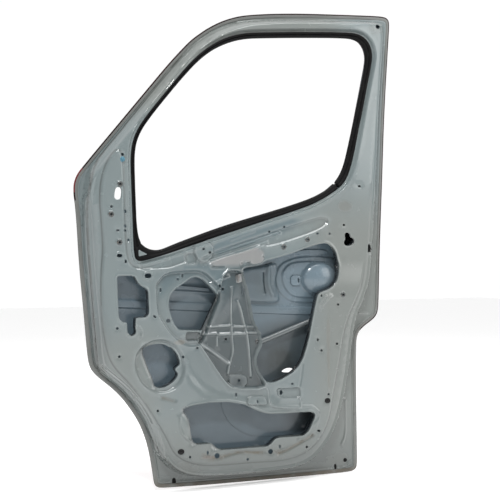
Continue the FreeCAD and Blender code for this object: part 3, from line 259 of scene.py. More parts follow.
def relief_inner(P):
    s = sdist(P, STP, 90)
    fr = sdist(P, OUT, 60)
    a, b = (FACE - FLANGE) * smooth((s + 11.5) / 14.5), 2.1 * np.maximum(0, fr - 12.4)
    k = np.minimum(9.0, 0.5 * (a + b)) + 1e-6
    h = np.clip(0.5 + 0.5 * (b - a) / k, 0, 1)
    d = FLANGE + b * (1 - h) + a * h - k * h * (1 - h)
    # a low bead along the flange beside the wall
    d = d + 1.3 * np.exp(-((fr - 14.5) / 2.2) ** 2) * (s < -12.5)
    up = smooth((P[:, 1] - 1010) / 200.0)
    # the frame is a little shallower than the lower face
    d = d - 5.0 * up * smooth((s + 4) / 8)
    # shallow groove inside the wall's edge
    d = d - 2.4 * np.exp(-((s - 11.0) / 4.0) ** 2) * (1 - 0.75 * up)
    face = smooth((s + 2) / 8)
    for i, (poly, delta, w) in enumerate(STEPL):
        k = near_box(P, poly, w)
        if k.any():
            fade = face[k]
            if i == 0:
                fade = fade * np.maximum(smooth((-300 - P[k, 0]) / 70), smooth((720 - P[k, 1]) / 150))
            d[k] += delta * smooth((sdist(P[k], poly) + w / 2) / w) * fade
    k = near_box(P, REG, 22)
    q = sdist(P[k], REG)
    d[k] -= 17.0 * smooth((q + 1.0) / 8.0)
    d[k] += 3.2 * np.exp(-((q + 2.5) / 2.8) ** 2)
    # sloping face of the belt, proud along its lower edge
    k = near_box(P, PAL, 12)
    if k.any():
        q = sdist(P[k], PAL)
        a, b = line_dist(P[k], PAL_TOP, False), line_dist(P[k], PAL_LOW, False)
        d[k] += (3.0 + 9.0 * a / (a + b + 1e-6)) * smooth((q + 3.0) / 5.0)
    for line, w, h in BEADL:
        k = near_box(P, line, 2.5 * w)
        if k.any():
            r = line_dist(P[k], line, False) / w
            d[k] += h * np.where(r < 1.6, 0.5 + 0.5 * np.cos(np.pi * np.clip(r / 1.6, 0, 1)), 0)
    for x, z, r, h in BOSSES:
        q = np.hypot(P[:, 0] - x, P[:, 1] - z)
        d += h * (1 - smooth((q - r) / 3.0))
    # turned lips at the openings
    for name, poly in OPN.items():
        k = near_box(P, poly, 18)
        if k.any():
            o = -sdist(P[k], poly)
            big = name not in ("slot", "lock")
            if big:
                away, fore = facing(P[k], poly)
                d[k] += 0.9 * np.exp(-((o - 5.0) / 2.6) ** 2)
                d[k] -= (1.8 + 15.0 * away) * np.clip(1 - o / 2.4, 0, 1)
                if name in ("speaker", "pocket"):
                    d[k] -= 9.0 * fore * np.clip(1 - o / 13.0, 0, 1) ** 1.2
            else:
                d[k] -= 2.0 * np.clip(1 - o / 3.0, 0, 1) ** 2
    for poly in HOL:
        k = near_box(P, poly, 6)
        if k.any():
            o = -sdist(P[k], poly, 10)
            d[k] -= 1.3 * np.clip(1 - o / 2.6, 0, 1) ** 2
    # shoulder beside the window seal
    o = -sdist(P, SEO, 60)
    d = d - 9.0 * (1 - smooth((o - 4.0) / 6.0)) + 1.4 * np.exp(-((o - 12) / 3.5) ** 2)
    return d


def relief_normals(P, relief):
    """Face directions of a pressed sheet, worked out from its relief; softer round the window frame."""
    e = 0.5 + 2.3 * np.clip((P[:, 1] - 890.0) / 80.0, 0, 1)
    ex, ez = np.stack([e, 0 * e], 1), np.stack([0 * e, e], 1)
    dx = (relief(P + ex) - relief(P - ex)) / (2 * e)
    dz = (relief(P + ez) - relief(P - ez)) / (2 * e)
    d = relief(P)
    yz = -(P[:, 1] - ZB) / np.sqrt((RB - d) ** 2 - (P[:, 1] - ZB) ** 2)
    n = np.stack([-dx, -np.ones(len(P)), yz - dz], 1)
    return n / np.linalg.norm(n, axis=1)[:, None]


def shade_sheet(ob, n_pts, n_faces, N, n_edge=None):
    """Smooth both sides of a sheet with given directions; its cut edges stay flat."""
    me = ob.data
    nl = len(me.loops)
    vi = np.empty(nl, int)
    me.loops.foreach_get("vertex_index", vi)
    tot = np.empty(len(me.polygons), int)
    me.polygons.foreach_get("loop_total", tot)
    pn = np.empty(len(me.polygons) * 3)
    me.polygons.foreach_get("normal", pn)
    pi = np.repeat(np.arange(len(me.polygons)), tot)
    out = pn.reshape(-1, 3)[pi]
    a = pi < n_faces
    b = (pi >= n_faces) & (pi < 2 * n_faces)
    out[a] = N[vi[a]]
    out[b] = -N[vi[b] - n_pts]
    if n_edge is not None:
        # what is joined on after the sheet keeps its own smooth shading
        vn = np.empty(len(me.vertices) * 3)
        me.vertices.foreach_get("normal", vn)
        c = pi >= 2 * n_faces + n_edge
        out[c] = vn.reshape(-1, 3)[vi[c]]
    me.normals_split_custom_set(out.tolist())


# ------------------------------------------------------------------ triangulation
def thin_out(groups):
    """Keep points in order of importance, each with its own clearance."""
    cell = 1.5
    grid = {}
    keep = []
    for pts, clear in groups:
        r = int(math.ceil(clear / cell))
        c2 = clear * clear
        for x, y in pts:
            i, j = int(math.floor(x / cell)), int(math.floor(y / cell))
            ok = True
            for a in range(i - r, i + r + 1):
                for b in range(j - r, j + r + 1):
                    for q in grid.get((a, b), ()):
                        if (q[0] - x) ** 2 + (q[1] - y) ** 2 < c2:
                            ok = False
                            break
                    if not ok:
                        break
                if not ok:
                    break
            if ok:
                grid.setdefault((i, j), []).append((x, y))
                keep.append((x, y))
    return keep


def triangulate(outer, holes, groups, chains=()):
    """Triangles of a sheet; chains are runs of points that its edges have to follow."""
    loops = [outer] + list(holes)
    fixed = [np.asarray(l, float) for l in loops]
    pts = []
    edges = []
    for l in fixed:
        b = len(pts)
        pts += [tuple(p) for p in l]
        edges += [(b + i, b + (i + 1) % len(l)) for i in range(len(l))]
    for l, mask in chains:
        ok = mask & inside(l, fixed[0]) & (line_dist(l, fixed[0], True) > 0.6)
        for h in fixed[1:]:
            k = near_box(l, h, 2)
            if k.any():
                ok[k] &= ~inside(l[k], h) & (line_dist(l[k], h, True) > 0.5)
        b = len(pts)
        num = np.cumsum(ok) - 1
        pts += [tuple(p) for p in l[ok]]
        n = len(l)
        edges += [(b + num[i], b + num[(i + 1) % n]) for i in range(n) if ok[i] and ok[(i + 1) % n]]
    nb = len(pts)
    cand = thin_out([(pts, 0.0)] + groups)[nb:]
    C = np.array(cand)
    ok = inside(C, fixed[0]) & (line_dist(C, fixed[0], True) > 1.0)
    for h in fixed[1:]:
        k = near_box(C, h, 2)
        if k.any():
            ok[k] &= ~inside(C[k], h) & (line_dist(C[k], h, True) > 0.8)
    pts += [tuple(p) for p in C[ok]]
    r = delaunay_2d_cdt([Vector(p) for p in pts], [(int(a), int(b)) for a, b in edges], [], 0, 1e-4)
    vs = np.array([(v.x, v.y) for v in r[0]])
    fs = np.array([f for f in r[2] if len(f) == 3])
    cen = vs[fs].mean(1)
    ok = inside(cen, fixed[0])
    for h in fixed[1:]:
        k = near_box(cen, h, 2)
        if k.any():
            ok[k] &= ~inside(cen[k], h)
    fs = fs[ok]
    a, b, c = vs[fs[:, 0]], vs[fs[:, 1]], vs[fs[:, 2]]
    ar = (b[:, 0] - a[:, 0]) * (c[:, 1] - a[:, 1]) - (c[:, 0] - a[:, 0]) * (b[:, 1] - a[:, 1])
    fs = np.where((ar < 0)[:, None], fs[:, ::-1], fs)
    fs = fs[np.abs(ar) > 1e-6]
    used = np.unique(fs)
    remap = np.full(len(vs), -1)
    remap[used] = np.arange(len(used))
    return vs[used], remap[fs]


def hexgrid(lo, hi, step):
    xs = np.arange(lo[0], hi[0], step)
    zs = np.arange(lo[1], hi[1], step * 0.866)
    X, Z = np.meshgrid(xs, zs)
    X = X + (np.arange(len(zs)) % 2)[:, None] * step / 2
    return np.stack([X.ravel(), Z.ravel()], 1)


def sheet_solid(vs, fs, d_in, thick, mats_back=False):
    """Two-sided sheet: the cabin face at depth d_in, the other face thick nearer the outside."""
    n = len(vs)
    front = pos(vs[:, 0], vs[:, 1], d_in)
    back = pos(vs[:, 0], vs[:, 1], d_in - thick)
    verts = np.vstack([front, back])
    e = np.vstack([fs[:, [0, 1]], fs[:, [1, 2]], fs[:, [2, 0]]])
    key = {}
    for a, b in e:
        key[(a, b)] = 1
    border = [(a, b) for a, b in key if (b, a) not in key]
    faces = [tuple(f) for f in fs] + [tuple(f[::-1] + n) for f in fs] + [(b, a, a + n, b + n) for a, b in border]
    return verts, faces, len(fs), len(border)


def mesh_object(name, verts, faces, smooth_faces=True):
    me = bpy.data.meshes.new(name)
    me.from_pydata([tuple(map(float, v)) for v in verts], [], [tuple(int(i) for i in f) for f in faces])
    me.update()
    ob = bpy.data.objects.new(name, me)
    bpy.context.scene.collection.objects.link(ob)
    if smooth_faces:
        me.polygons.foreach_set("use_smooth", [True] * len(me.polygons))
    return ob


def finish_piece(ob, slot, *nodes):
    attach(ob, "root")
    if nodes:
        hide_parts(*nodes)
    return ob


# ------------------------------------------------------------------ materials
def blob(nt, co, centre, radius, noise, sharp=1.6, low=0.10):
    """A soft-edged patch round a point: 1 inside, 0 outside, broken up by noise."""
    mp = nt.nodes.new("ShaderNodeMapping")
    mp.vector_type = "POINT"
    c = Vector(centre)
    s = Vector([1.0 / r for r in radius])
    mp.inputs["Location"].default_value = (-c.x * s.x, -c.y * s.y, -c.z * s.z)
    mp.inputs["Scale"].default_value = s
    nt.links.new(co, mp.inputs["Vector"])
    g = nt.nodes.new("ShaderNodeTexGradient")
    g.gradient_type = "SPHERICAL"
    nt.links.new(mp.outputs["Vector"], g.inputs["Vector"])
    m = nt.nodes.new("ShaderNodeMath")
    m.operation = "MULTIPLY"
    nt.links.new(g.outputs["Fac"], m.inputs[0])
    nt.links.new(noise, m.inputs[1])
    r = nt.nodes.new("ShaderNodeMapRange")
    r.inputs["From Min"].default_value = low
    r.inputs["From Max"].default_value = low + 0.5 / sharp
    nt.links.new(m.outputs[0], r.inputs["Value"])
    return r.outputs["Result"]


def noise(nt, co, scale, detail=4.0, rough=0.55, stretch=None, rot=None):
    v = co
    if stretch or rot:
        mp = nt.nodes.new("ShaderNodeMapping")
        mp.inputs["Scale"].default_value = stretch or (1, 1, 1)
        mp.inputs["Rotation"].default_value = rot or (0, 0, 0)
        nt.links.new(co, mp.inputs["Vector"])
        v = mp.outputs["Vector"]
    n = nt.nodes.new("ShaderNodeTexNoise")
    n.inputs["Scale"].default_value = scale
    n.inputs["Detail"].default_value = detail
    n.inputs["Roughness"].default_value = rough
    nt.links.new(v, n.inputs["Vector"])
    return n.outputs["Fac"]


def ramp(nt, val, lo, hi, a=0.0, b=1.0):
    r = nt.nodes.new("ShaderNodeMapRange")
    r.inputs["From Min"].default_value = lo
    r.inputs["From Max"].default_value = hi
    r.inputs["To Min"].default_value = a
    r.inputs["To Max"].default_value = b
    nt.links.new(val, r.inputs["Value"])
    return r.outputs["Result"]


def math2(nt, op, a, b):
    m = nt.nodes.new("ShaderNodeMath")
    m.operation = op
    for i, v in enumerate((a, b)):
        if hasattr(v, "default_value") or hasattr(v, "is_output"):
            nt.links.new(v, m.inputs[i])
        else:
            m.inputs[i].default_value = v
    return m.outputs[0]


def mix(nt, fac, a, b):
    m = nt.nodes.new("ShaderNodeMix")
    m.data_type = "RGBA"
    nt.links.new(fac, m.inputs["Factor"])
    for sock, v in ((m.inputs[6], a), (m.inputs[7], b)):
        if isinstance(v, tuple):
            sock.default_value = v + (1.0,) if len(v) == 3 else v
        else:
            nt.links.new(v, sock)
    return m.outputs[2]


def start(name):
    m = bpy.data.materials.new(name)
    m.use_nodes = True
    nt = m.node_tree
    nt.nodes.clear()
    out = nt.nodes.new("ShaderNodeOutputMaterial")
    bs = nt.nodes.new("ShaderNodeBsdfPrincipled")
    nt.links.new(bs.outputs[0], out.inputs[0])
    tc = nt.nodes.new("ShaderNodeTexCoord")
    return m, nt, bs, tc.outputs["Object"]


def bump(nt, bs, height, strength, dist):
    b = nt.nodes.new("ShaderNodeBump")
    b.inputs["Strength"].default_value = strength
    b.inputs["Distance"].default_value = dist
    nt.links.new(height, b.inputs["Height"])
    nt.links.new(b.outputs["Normal"], bs.inputs["Normal"])


def P3(x, z, d=57.0):
    return tuple(float(c) for c in pos(np.array([x]), np.array([z]), d)[0])


def paint(name, base, low, high, rough=(0.26, 0.42), coat=0.35, grime=(0.075, 0.072, 0.062), grime_amt=0.4, marks=(), bottom=True, zones=False, soft=False):
    m, nt, bs, co = start(name)
    big = noise(nt, co, 4.5, 5)
    mid = noise(nt, co, 28.0, 3, 0.5)
    fine = noise(nt, co, 260.0, 3)
    col = mix(nt, ramp(nt, big, 0.35, 0.66), low, high)
    col = mix(nt, ramp(nt, mid, 0.42, 0.72, 0.0, 0.35), col, base)
    # rubbed, paler scratches running many ways
    s1 = noise(nt, co, 1.0, 2, 0.5, (900, 900, 22), (0.0, 0.5, 0.2))
    s2 = noise(nt, co, 1.0, 2, 0.5, (30, 900, 800), (0.0, 0.35, 0.1))
    sc = math2(nt, "MAXIMUM", ramp(nt, s1, 0.72, 0.78), ramp(nt, s2, 0.73, 0.79))
    sc = math2(nt, "MULTIPLY", sc, ramp(nt, noise(nt, co, 9.0, 3), 0.52, 0.68, 0.0, 0.32))
    pale = tuple(min(1.0, c * 1.45 + 0.03) for c in base)
    col = mix(nt, sc, col, pale)
    # faint run-down grime
    g = ramp(nt, noise(nt, co, 6.0, 5, 0.6, (1.0, 1.0, 0.35)), 0.60, 0.78, 0.0, 0.35 * grime_amt)
    col = mix(nt, g, col, grime)
    # speckle of dust and small rust specks
    sp = ramp(nt, noise(nt, co, 420.0, 2), 0.74, 0.80, 0.0, 0.35)
    sp = math2(nt, "MULTIPLY", sp, ramp(nt, big, 0.45, 0.62))
    col = mix(nt, sp, col, (0.14, 0.10, 0.07))
    dirt_and_shade = None
    if bottom:
        sep = nt.nodes.new("ShaderNodeSeparateXYZ")
        nt.links.new(co, sep.inputs[0])
        low_z = ramp(nt, sep.outputs["Z"], -0.655, -0.700)
        dm = math2(nt, "MULTIPLY", low_z, ramp(nt, mid, 0.36, 0.6, 0.15, 1.0))
        col = mix(nt, math2(nt, "MULTIPLY", dm, 0.85), col, (0.10, 0.090, 0.070))
        dirt_and_shade = dm
    # Marks are stains and dirt, or soft patches of painted shade; those at full amount are hard-edged patches of
    # painted black shadow.
    for centre, radius, colour, amt in marks:
        if amt == 1.0:
            col = mix(nt, blob(nt, co, centre, radius, ramp(nt, mid, 0.0, 1.0, 1.0, 1.001), 5.0, 0.12), col, colour)
            continue
        b = math2(nt, "MULTIPLY", blob(nt, co, centre, radius, ramp(nt, mid, 0.28, 0.6, 0.85, 1.0), 0.6, 0.02) if soft else blob(nt, co, centre, radius, ramp(nt, mid, 0.28, 0.6, 0.35, 1.0)), amt)
        col = mix(nt, b, col, colour)
        dirt_and_shade = b if dirt_and_shade is None else math2(nt, "MAXIMUM", dirt_and_shade, b)
    if zones:
        at_ = {}
        for key in ("warm", "shade", "cool_shade", "rim", "pale", "line", "brown", "cut"):
            a = nt.nodes.new("ShaderNodeAttribute")
            a.attribute_name = key
            at_[key] = a.outputs["Fac"]
        # Zone colours: a warm tone, painted shade and bluish painted shade in recesses, painted highlights on ridges
        # and on the sloping belt face, thin painted shade lines at step feet, brown dirt in creases, and painted black
        # shadow along the far edges of openings.
        col = mix(nt, at_["warm"], col, (0.168, 0.181, 0.169))
        col = mix(nt, math2(nt, "MULTIPLY", at_["shade"], ramp(nt, big, 0.2, 0.8, 0.85, 1.0)), col, (0.032, 0.044, 0.048))
        col = mix(nt, math2(nt, "MULTIPLY", at_["cool_shade"], ramp(nt, big, 0.2, 0.8, 0.8, 1.0)), col, (0.082, 0.122, 0.138))
        col = mix(nt, math2(nt, "MULTIPLY", at_["rim"], ramp(nt, mid, 0.3, 0.6, 0.6, 1.0)), col, (0.235, 0.262, 0.264))
        col = mix(nt, at_["pale"], col, (0.215, 0.221, 0.220))
        col = mix(nt, at_["line"], col, (0.045, 0.050, 0.046))
        col = mix(nt, math2(nt, "MULTIPLY", at_["brown"], ramp(nt, mid, 0.35, 0.6, 0.3, 0.9)), col, (0.10, 0.075, 0.045))
        col = mix(nt, at_["cut"], col, (0.006, 0.008, 0.01))
    nt.links.new(col, bs.inputs["Base Color"])
    r = ramp(nt, mid, 0.3, 0.7, rough[0], rough[1])
    r = math2(nt, "ADD", r, math2(nt, "MULTIPLY", g, 0.35))
    if dirt_and_shade is not None:
        r = math2(nt, "ADD", r, math2(nt, "MULTIPLY", dirt_and_shade, 0.3))
    nt.links.new(r, bs.inputs["Roughness"])
    bs.inputs["Coat Weight"].default_value = coat
    bs.inputs["Coat Roughness"].default_value = 0.09
    bs.inputs["Specular IOR Level"].default_value = 0.5
    h = math2(nt, "ADD", math2(nt, "MULTIPLY", fine, 0.5), math2(nt, "MULTIPLY", noise(nt, co, 900.0, 2), 0.35))
    h = math2(nt, "ADD", math2(nt, "MULTIPLY", h, 0.12), noise(nt, co, 34.0, 2))
    bump(nt, bs, h, 0.05, 0.0012)
    return m


BROWN = (0.085, 0.055, 0.032)
marks_inner = [
    (P3(248, 430), (0.010, 0.08, 0.15), BROWN, 0.62),
    (P3(249, 330), (0.008, 0.08, 0.07), (0.12, 0.085, 0.05), 0.5),
    (P3(301, 873), (0.034, 0.09, 0.026), (0.10, 0.092, 0.078), 0.5),
    (P3(-168, 98), (0.030, 0.08, 0.006), (0.22, 0.10, 0.09), 0.8),
    (P3(64, 96), (0.022, 0.08, 0.012), (0.16, 0.12, 0.08), 0.7),
    (P3(-60, 22, 4), (0.20, 0.08, 0.016), (0.09, 0.075, 0.055), 0.8),
    (P3(120, 14, 4), (0.22, 0.08, 0.014), (0.07, 0.06, 0.045), 0.8),
    (P3(300, 40, 4), (0.06, 0.08, 0.03), (0.12, 0.08, 0.05), 0.55),
    (P3(-240, 60), (0.07, 0.08, 0.04), (0.13, 0.10, 0.07), 0.45),
    (P3(-500, 330, 4), (0.04, 0.08, 0.10), (0.15, 0.12, 0.08), 0.5),
    (P3(380, 1440), (0.05, 0.08, 0.03), (0.13, 0.10, 0.07), 0.12),
    (P3(-250, 450), (0.03, 0.08, 0.01), (0.20, 0.17, 0.13), 0.5),
]
FLANGE_HOLES = [h[:2] for h in HOLES if float(relief_inner(np.array([[h[0] + 12.0, h[1] + 12.0]]))[0]) < 9]
M_INNER = paint("grey_inner_paint", (0.155, 0.189, 0.193), (0.150, 0.184, 0.189), (0.161, 0.194, 0.196), rough=(0.18, 0.28), coat=0.8, marks=marks_inner, zones=True)
# Cavity paint with soft patches of painted shade in the shadowed parts of the cavity, and near-black painted shadow
# behind the flange, corner and lock holes.
M_CAVITY = paint("cavity_paint", (0.126, 0.174, 0.207), (0.117, 0.165, 0.198), (0.138, 0.185, 0.217), rough=(0.20, 0.32), coat=0.6, grime_amt=0.6,
                 marks=[(P3(105, 370, 2), (0.20, 0.15, 0.20), (0.035, 0.042, 0.042), 0.95), (P3(190, 205, 2), (0.10, 0.15, 0.13), (0.03, 0.035, 0.036), 0.95),
                        (P3(150, 470, 2), (0.15, 0.1, 0.05), (0.06, 0.07, 0.072), 0.6), (P3(300, 640, 8), (0.07, 0.1, 0.1), (0.10, 0.115, 0.12), 0.6), (P3(-190, 540, 2), (0.19, 0.15, 0.17), (0.070, 0.096, 0.110), 0.85), (P3(40, 610, 6), (0.10, 0.15, 0.11), (0.072, 0.096, 0.104), 0.85), (P3(-60, 200, 2), (0.30, 0.15, 0.16), (0.078, 0.104, 0.120), 0.85)] + [(P3(x, z, 1.2), (0.014, 0.03, 0.016), (0.002, 0.002, 0.002), 1.0) for x, z in FLANGE_HOLES] + [(P3(416, 736, 25), (0.036, 0.07, 0.032), (0.003, 0.003, 0.003), 1.0), (P3(330, 782, 20), (0.05, 0.06, 0.05), (0.003, 0.003, 0.004), 1.0)], soft=True)
# Near-black finish for cut edges: painted shadow along the edges of the sheet.
M_EDGE_SHADOW = paint("edge_shadow_black", (0.012, 0.014, 0.016), (0.009, 0.011, 0.013), (0.02, 0.02, 0.02), rough=(0.5, 0.7), coat=0.0, bottom=False)
M_RED = paint("dark_red_paint", (0.115, 0.010, 0.013), (0.098, 0.008, 0.011), (0.135, 0.013, 0.016), rough=(0.28, 0.40), coat=0.25, grime=(0.05, 0.03, 0.025), grime_amt=0.3,
              marks=[((0.4, 0.02, -0.66), (0.6, 0.3, 0.07), (0.06, 0.035, 0.025), 0.5)])
M_RED.node_tree.nodes["Principled BSDF"].inputs["Specular IOR Level"].default_value = 0.3
M_LINE = paint("hem_edge_paint", (0.012, 0.004, 0.004), (0.010, 0.004, 0.004), (0.020, 0.005, 0.005), rough=(0.5, 0.7), coat=0.0, grime=(0.03, 0.02, 0.018), grime_amt=0.6)
M_LINE.node_tree.nodes["Principled BSDF"].inputs["Specular IOR Level"].default_value = 0.12
M_HEM = paint("hem_paint", (0.145, 0.152, 0.145), (0.130, 0.136, 0.129), (0.160, 0.166, 0.160), grime=(0.10, 0.075, 0.05), grime_amt=0.9,
              marks=[(P3(-60, 6, 5), (0.36, 0.08, 0.03), (0.085, 0.075, 0.058), 0.8), (P3(230, 2, 5), (0.3, 0.08, 0.03), (0.08, 0.068, 0.05), 0.8)])


def rubber(name, base):
    m, nt, bs, co = start(name)
    big = noise(nt, co, 14.0, 5)
    fine = noise(nt, co, 320.0, 4)
    col = mix(nt, ramp(nt, big, 0.35, 0.7), base, tuple(c * 1.8 + 0.001 for c in base))
    ao = nt.nodes.new("ShaderNodeAmbientOcclusion")
    ao.samples = 4
    ao.inputs["Distance"].default_value = 0.008
    dust = math2(nt, "MULTIPLY", ramp(nt, ao.outputs["AO"], 0.9, 0.4), ramp(nt, noise(nt, co, 40.0, 5), 0.5, 0.75, 0.0, 0.35))
    col = mix(nt, dust, col, (0.05, 0.048, 0.043))
    nt.links.new(col, bs.inputs["Base Color"])
    nt.links.new(ramp(nt, fine, 0.3, 0.7, 0.42, 0.66), bs.inputs["Roughness"])
    bs.inputs["Specular IOR Level"].default_value = 0.14
    bump(nt, bs, math2(nt, "ADD", fine, math2(nt, "MULTIPLY", noise(nt, co, 90.0, 3), 0.6)), 0.25, 0.0006)
    return m


M_RUBBER = rubber("black_rubber", (0.0018, 0.0018, 0.002))
M_BUNG = rubber("bung_rubber", (0.012, 0.012, 0.012))
# Near-black finish on the skin behind the flange holes: painted shadow seen through them.
M_HOLE_SHADOW = rubber("hole_shadow_black", (0.003, 0.003, 0.0032))


def plastic(name, base):
    m, nt, bs, co = start(name)
    n = noise(nt, co, 120.0, 4)
    nt.links.new(mix(nt, ramp(nt, n, 0.35, 0.7), base, tuple(c * 1.4 + 0.01 for c in base)), bs.inputs["Base Color"])
    nt.links.new(ramp(nt, noise(nt, co, 500.0, 3), 0.3, 0.7, 0.28, 0.45), bs.inputs["Roughness"])
    bump(nt, bs, n, 0.12, 0.0004)
    return m


M_BLUE = plastic("blue_plastic", (0.035, 0.125, 0.175))


def plated(name, base):
    m, nt, bs, co = start(name)
    n = noise(nt, co, 150.0, 5)
    col = mix(nt, ramp(nt, n, 0.35, 0.7), base, tuple(c * 0.6 for c in base))
    rust = ramp(nt, noise(nt, co, 90.0, 5, 0.7), 0.56, 0.70, 0.0, 0.7)
    nt.links.new(mix(nt, rust, col, (0.16, 0.075, 0.03)), bs.inputs["Base Color"])
    nt.links.new(ramp(nt, rust, 0.0, 0.7, 0.85, 0.1), bs.inputs["Metallic"])
    nt.links.new(ramp(nt, n, 0.3, 0.7, 0.28, 0.5), bs.inputs["Roughness"])
    bump(nt, bs, noise(nt, co, 700.0, 3), 0.2, 0.0004)
    return m


M_STEEL = plated("plated_steel", (0.13, 0.14, 0.14))
M_ZINC = plated("bright_zinc", (0.34, 0.35, 0.35))


# ------------------------------------------------------------------ inner pressing
def iso(loop, offs, step, clear):
    g = []
    for o in offs:
        g.append((resample(shift(loop, o), step), clear))
    return g


groups = []
chains = []


def capped(P):
    """How much higher the wall would stand if the hem did not leave it so little room."""
    return (FACE - FLANGE) * smooth((sdist(P, STP, 90) + 11.5) / 14.5) - 2.1 * np.maximum(0, sdist(P, OUT, 60) - 12.4)


# shift() moves outward, so the wall's foot has positive offsets
for o in (12.0, 10.0, 8.0, 6.0, 4.0, 2.2, 0.6, -0.8, -2.0, -3.4, -6.0, -8.5, -11.0, -13.5, -16.0):
    l = resample(shift(STP, o), 4.8)
    chains.append((l, capped(l) < -8.0))
for o in (12.3, 13.6, 15.2, 17.0, 19.2, 21.6, 24.0, 26.4, 28.8, 31.2, 33.6, 36.0, 38.4, 41.0):
    l = resample(shift(OUT, -o), 4.8)
    chains.append((l, capped(l) > -14.0))
for name, poly in OPN.items():
    if name in ("slot", "lock"):
        groups += iso(poly, (1.5, 3.0), 3.0, 0.75)
        continue
    chains += [(shift(poly, o), np.ones(len(poly), bool)) for o in (0.8, 1.6, 2.5, 4.0)]
    groups += iso(poly, (6.0, 8.0, 10.5, 13.0), 3.4, 1.2)
rings = [(shift(poly, o), 1.0) for poly in HOL for o in (1.4, 3.2)]
groups += iso(REG, (-8.0, -5.2, -2.6, -0.5, 1.5, 3.5, 6.0), 3.0, 1.5)
chains += [(g_[0], sdist(g_[0], OUT, 60) > 43.0) for g_ in iso(SEO, (2.5, 4.4, 6.0, 7.6, 9.4, 12.0, 15.0), 5.0, 0)]
chains = [(l, m_ & (capped(l) < -8.0)) if i >= len(chains) - 7 else (l, m_) for i, (l, m_) in enumerate(chains)]
groups += iso(SEO, (2.5, 5.0, 7.6, 10.5, 14.0), 4.0, 1.7)
for line, w, h in BEADL:
    L = resample(line, 5.0, False)
    t = np.gradient(L, axis=0)
    t /= np.maximum(1e-9, np.hypot(*t.T))[:, None]
    nrm = np.stack([-t[:, 1], t[:, 0]], 1)
    for o in (0, 0.55, -0.55, 1.1, -1.1, 1.65, -1.65):
        groups.append((L + nrm * o * w, 1.6))
    e0, e1 = L[0] - t[0] * w, L[-1] + t[-1] * w
    groups.append((np.array([e0, e1]), 1.6))
for x, z, r, h in BOSSES:
    for q in (r - 1.5, r, r + 1.5, r + 3.0, r + 5.0):
        k = np.arange(22) * 2 * math.pi / 22
        groups.append((np.stack([x + np.cos(k) * q, z + np.sin(k) * q], 1), 1.2))
for poly, delta, w in STEPL:
    if w <= 14:
        groups += iso(poly, (-0.5 * w - 1, -0.3 * w, 0.0, 0.3 * w, 0.5 * w + 1), 4.6, 1.8)
groups += iso(STP, (14.5, 17.0), 6.0, 2.0)
groups.append((hexgrid(np.min(OUT, 0), np.max(OUT, 0), 12.5), 6.0))

# where hem and wall are close the runs along the hem stand alone
allp = np.vstack([g_ for g_, c_ in groups])
free = (capped(allp) < -8.0) | (sdist(allp, OUT, 60) < 11.0)
cuts = np.cumsum([len(g_) for g_, c_ in groups])[:-1]
groups = rings + [(g_[k_], c_) for (g_, c_), k_ in zip(groups, np.split(free, cuts))]
edge = resample(shift(OUT, -2.2), 6.0)
vs, fs = triangulate(edge, [SEO] + list(OPN.values()) + HOL, groups, chains)
vs_inner, nf_inner = vs, len(fs)
d_in = relief_inner(vs)
verts, faces, nf, nb = sheet_solid(vs, fs, d_in, 1.1)
print("inner pressing", len(vs), len(faces))


def band(loop, o0, o1, d0, d1):
    """A closed upstanding band: between two offsets of a loop and two depths."""
    a, b = shift(loop, o0), shift(loop, o1)
    n = len(loop)
    d0 = np.broadcast_to(np.asarray(d0, float), (n,))
    d1 = np.broadcast_to(np.asarray(d1, float), (n,))
    v = np.vstack([pos(a[:, 0], a[:, 1], d0), pos(a[:, 0], a[:, 1], d1), pos(b[:, 0], b[:, 1], d1), pos(b[:, 0], b[:, 1], d0)])
    f = []
    for i in range(n):
        j = (i + 1) % n
        for k in range(4):
            m = (k + 1) % 4
            f.append((k * n + i, k * n + j, m * n + j, m * n + i))
    return v, f


d_rim = relief_inner(shift(SEO, 0.05)) - 0.1
belt_mask = SEO[:, 1] < 700 + 0.33 * (SEO[:, 0] + 350) + 30
low = np.where(belt_mask, 38.0, 14.0)
bv, bf = band(SEO, 0.0, 1.1, low, d_rim)
inner = mesh_object("inner_pressing", np.vstack([verts, bv]), list(faces) + [tuple(i + len(verts) for i in f) for f in bf])
inner.data.materials.append(M_INNER)
inner.data.materials.append(M_CAVITY)
inner.data.materials.append(M_EDGE_SHADOW)
idx = np.zeros(len(inner.data.polygons), int)
idx[nf:2 * nf] = 1
# the cut edges of the sheet take the near-black painted shadow
idx[2 * nf:2 * nf + nb] = 2
inner.data.polygons.foreach_set("material_index", idx)
sharp = np.zeros(len(inner.data.polygons), bool)
sharp[:2 * nf] = True
inner.data.polygons.foreach_set("use_smooth", sharp)
finish_piece(inner, "inner_paint", "inner_front_pillar", "inner_header", "inner_rear_pillar", "inner_belt_rail", "inner_panel_hinge_side", "inner_panel_speaker_area", "inner_panel_pocket_rim", "inner_panel_latch_side", "inner_panel_sill", "regulator_panel")


# ------------------------------------------------------------------ outer skin with its hem
BX, BZ = BOWL[0] + 22.0, BOWL[1]
SKS = [(resample(chaikin(ccw(p), 2), 5.0), d, w) for p, d, w in SKIN_STEPS]
SKB = [(chaikin(p, 2, False), w, h) for p, w, h in SKIN_BEADS]


def relief_skin(P):
    d = np.full(len(P), 1.15)
    for poly, delta, w in SKS:
        k = near_box(P, poly, w)
        if k.any():
            d[k] += delta * smooth((sdist(P[k], poly) + w / 2) / w)
    for line, w, h in SKB:
        k = near_box(P, line, 2 * w)
        if k.any():
            r = line_dist(P[k], line, False) / w
            d[k] += h * np.where(r < 1, smooth((1 - r) / 0.45), 0)
    d = 1.15 + (d - 1.15) * smooth((sdist(P, OUT, 120) - 42.0) / 30.0) * smooth((sdist(P, STP, 120) - 2.0) / 25.0)
    q = np.hypot((P[:, 0] - BX) / 68.0, (P[:, 1] - BZ) / 56.0)
    d += 31.0 * np.sqrt(np.clip(1 - q * q, 0, 1)) * smooth((1.02 - q) / 0.16)
    return d


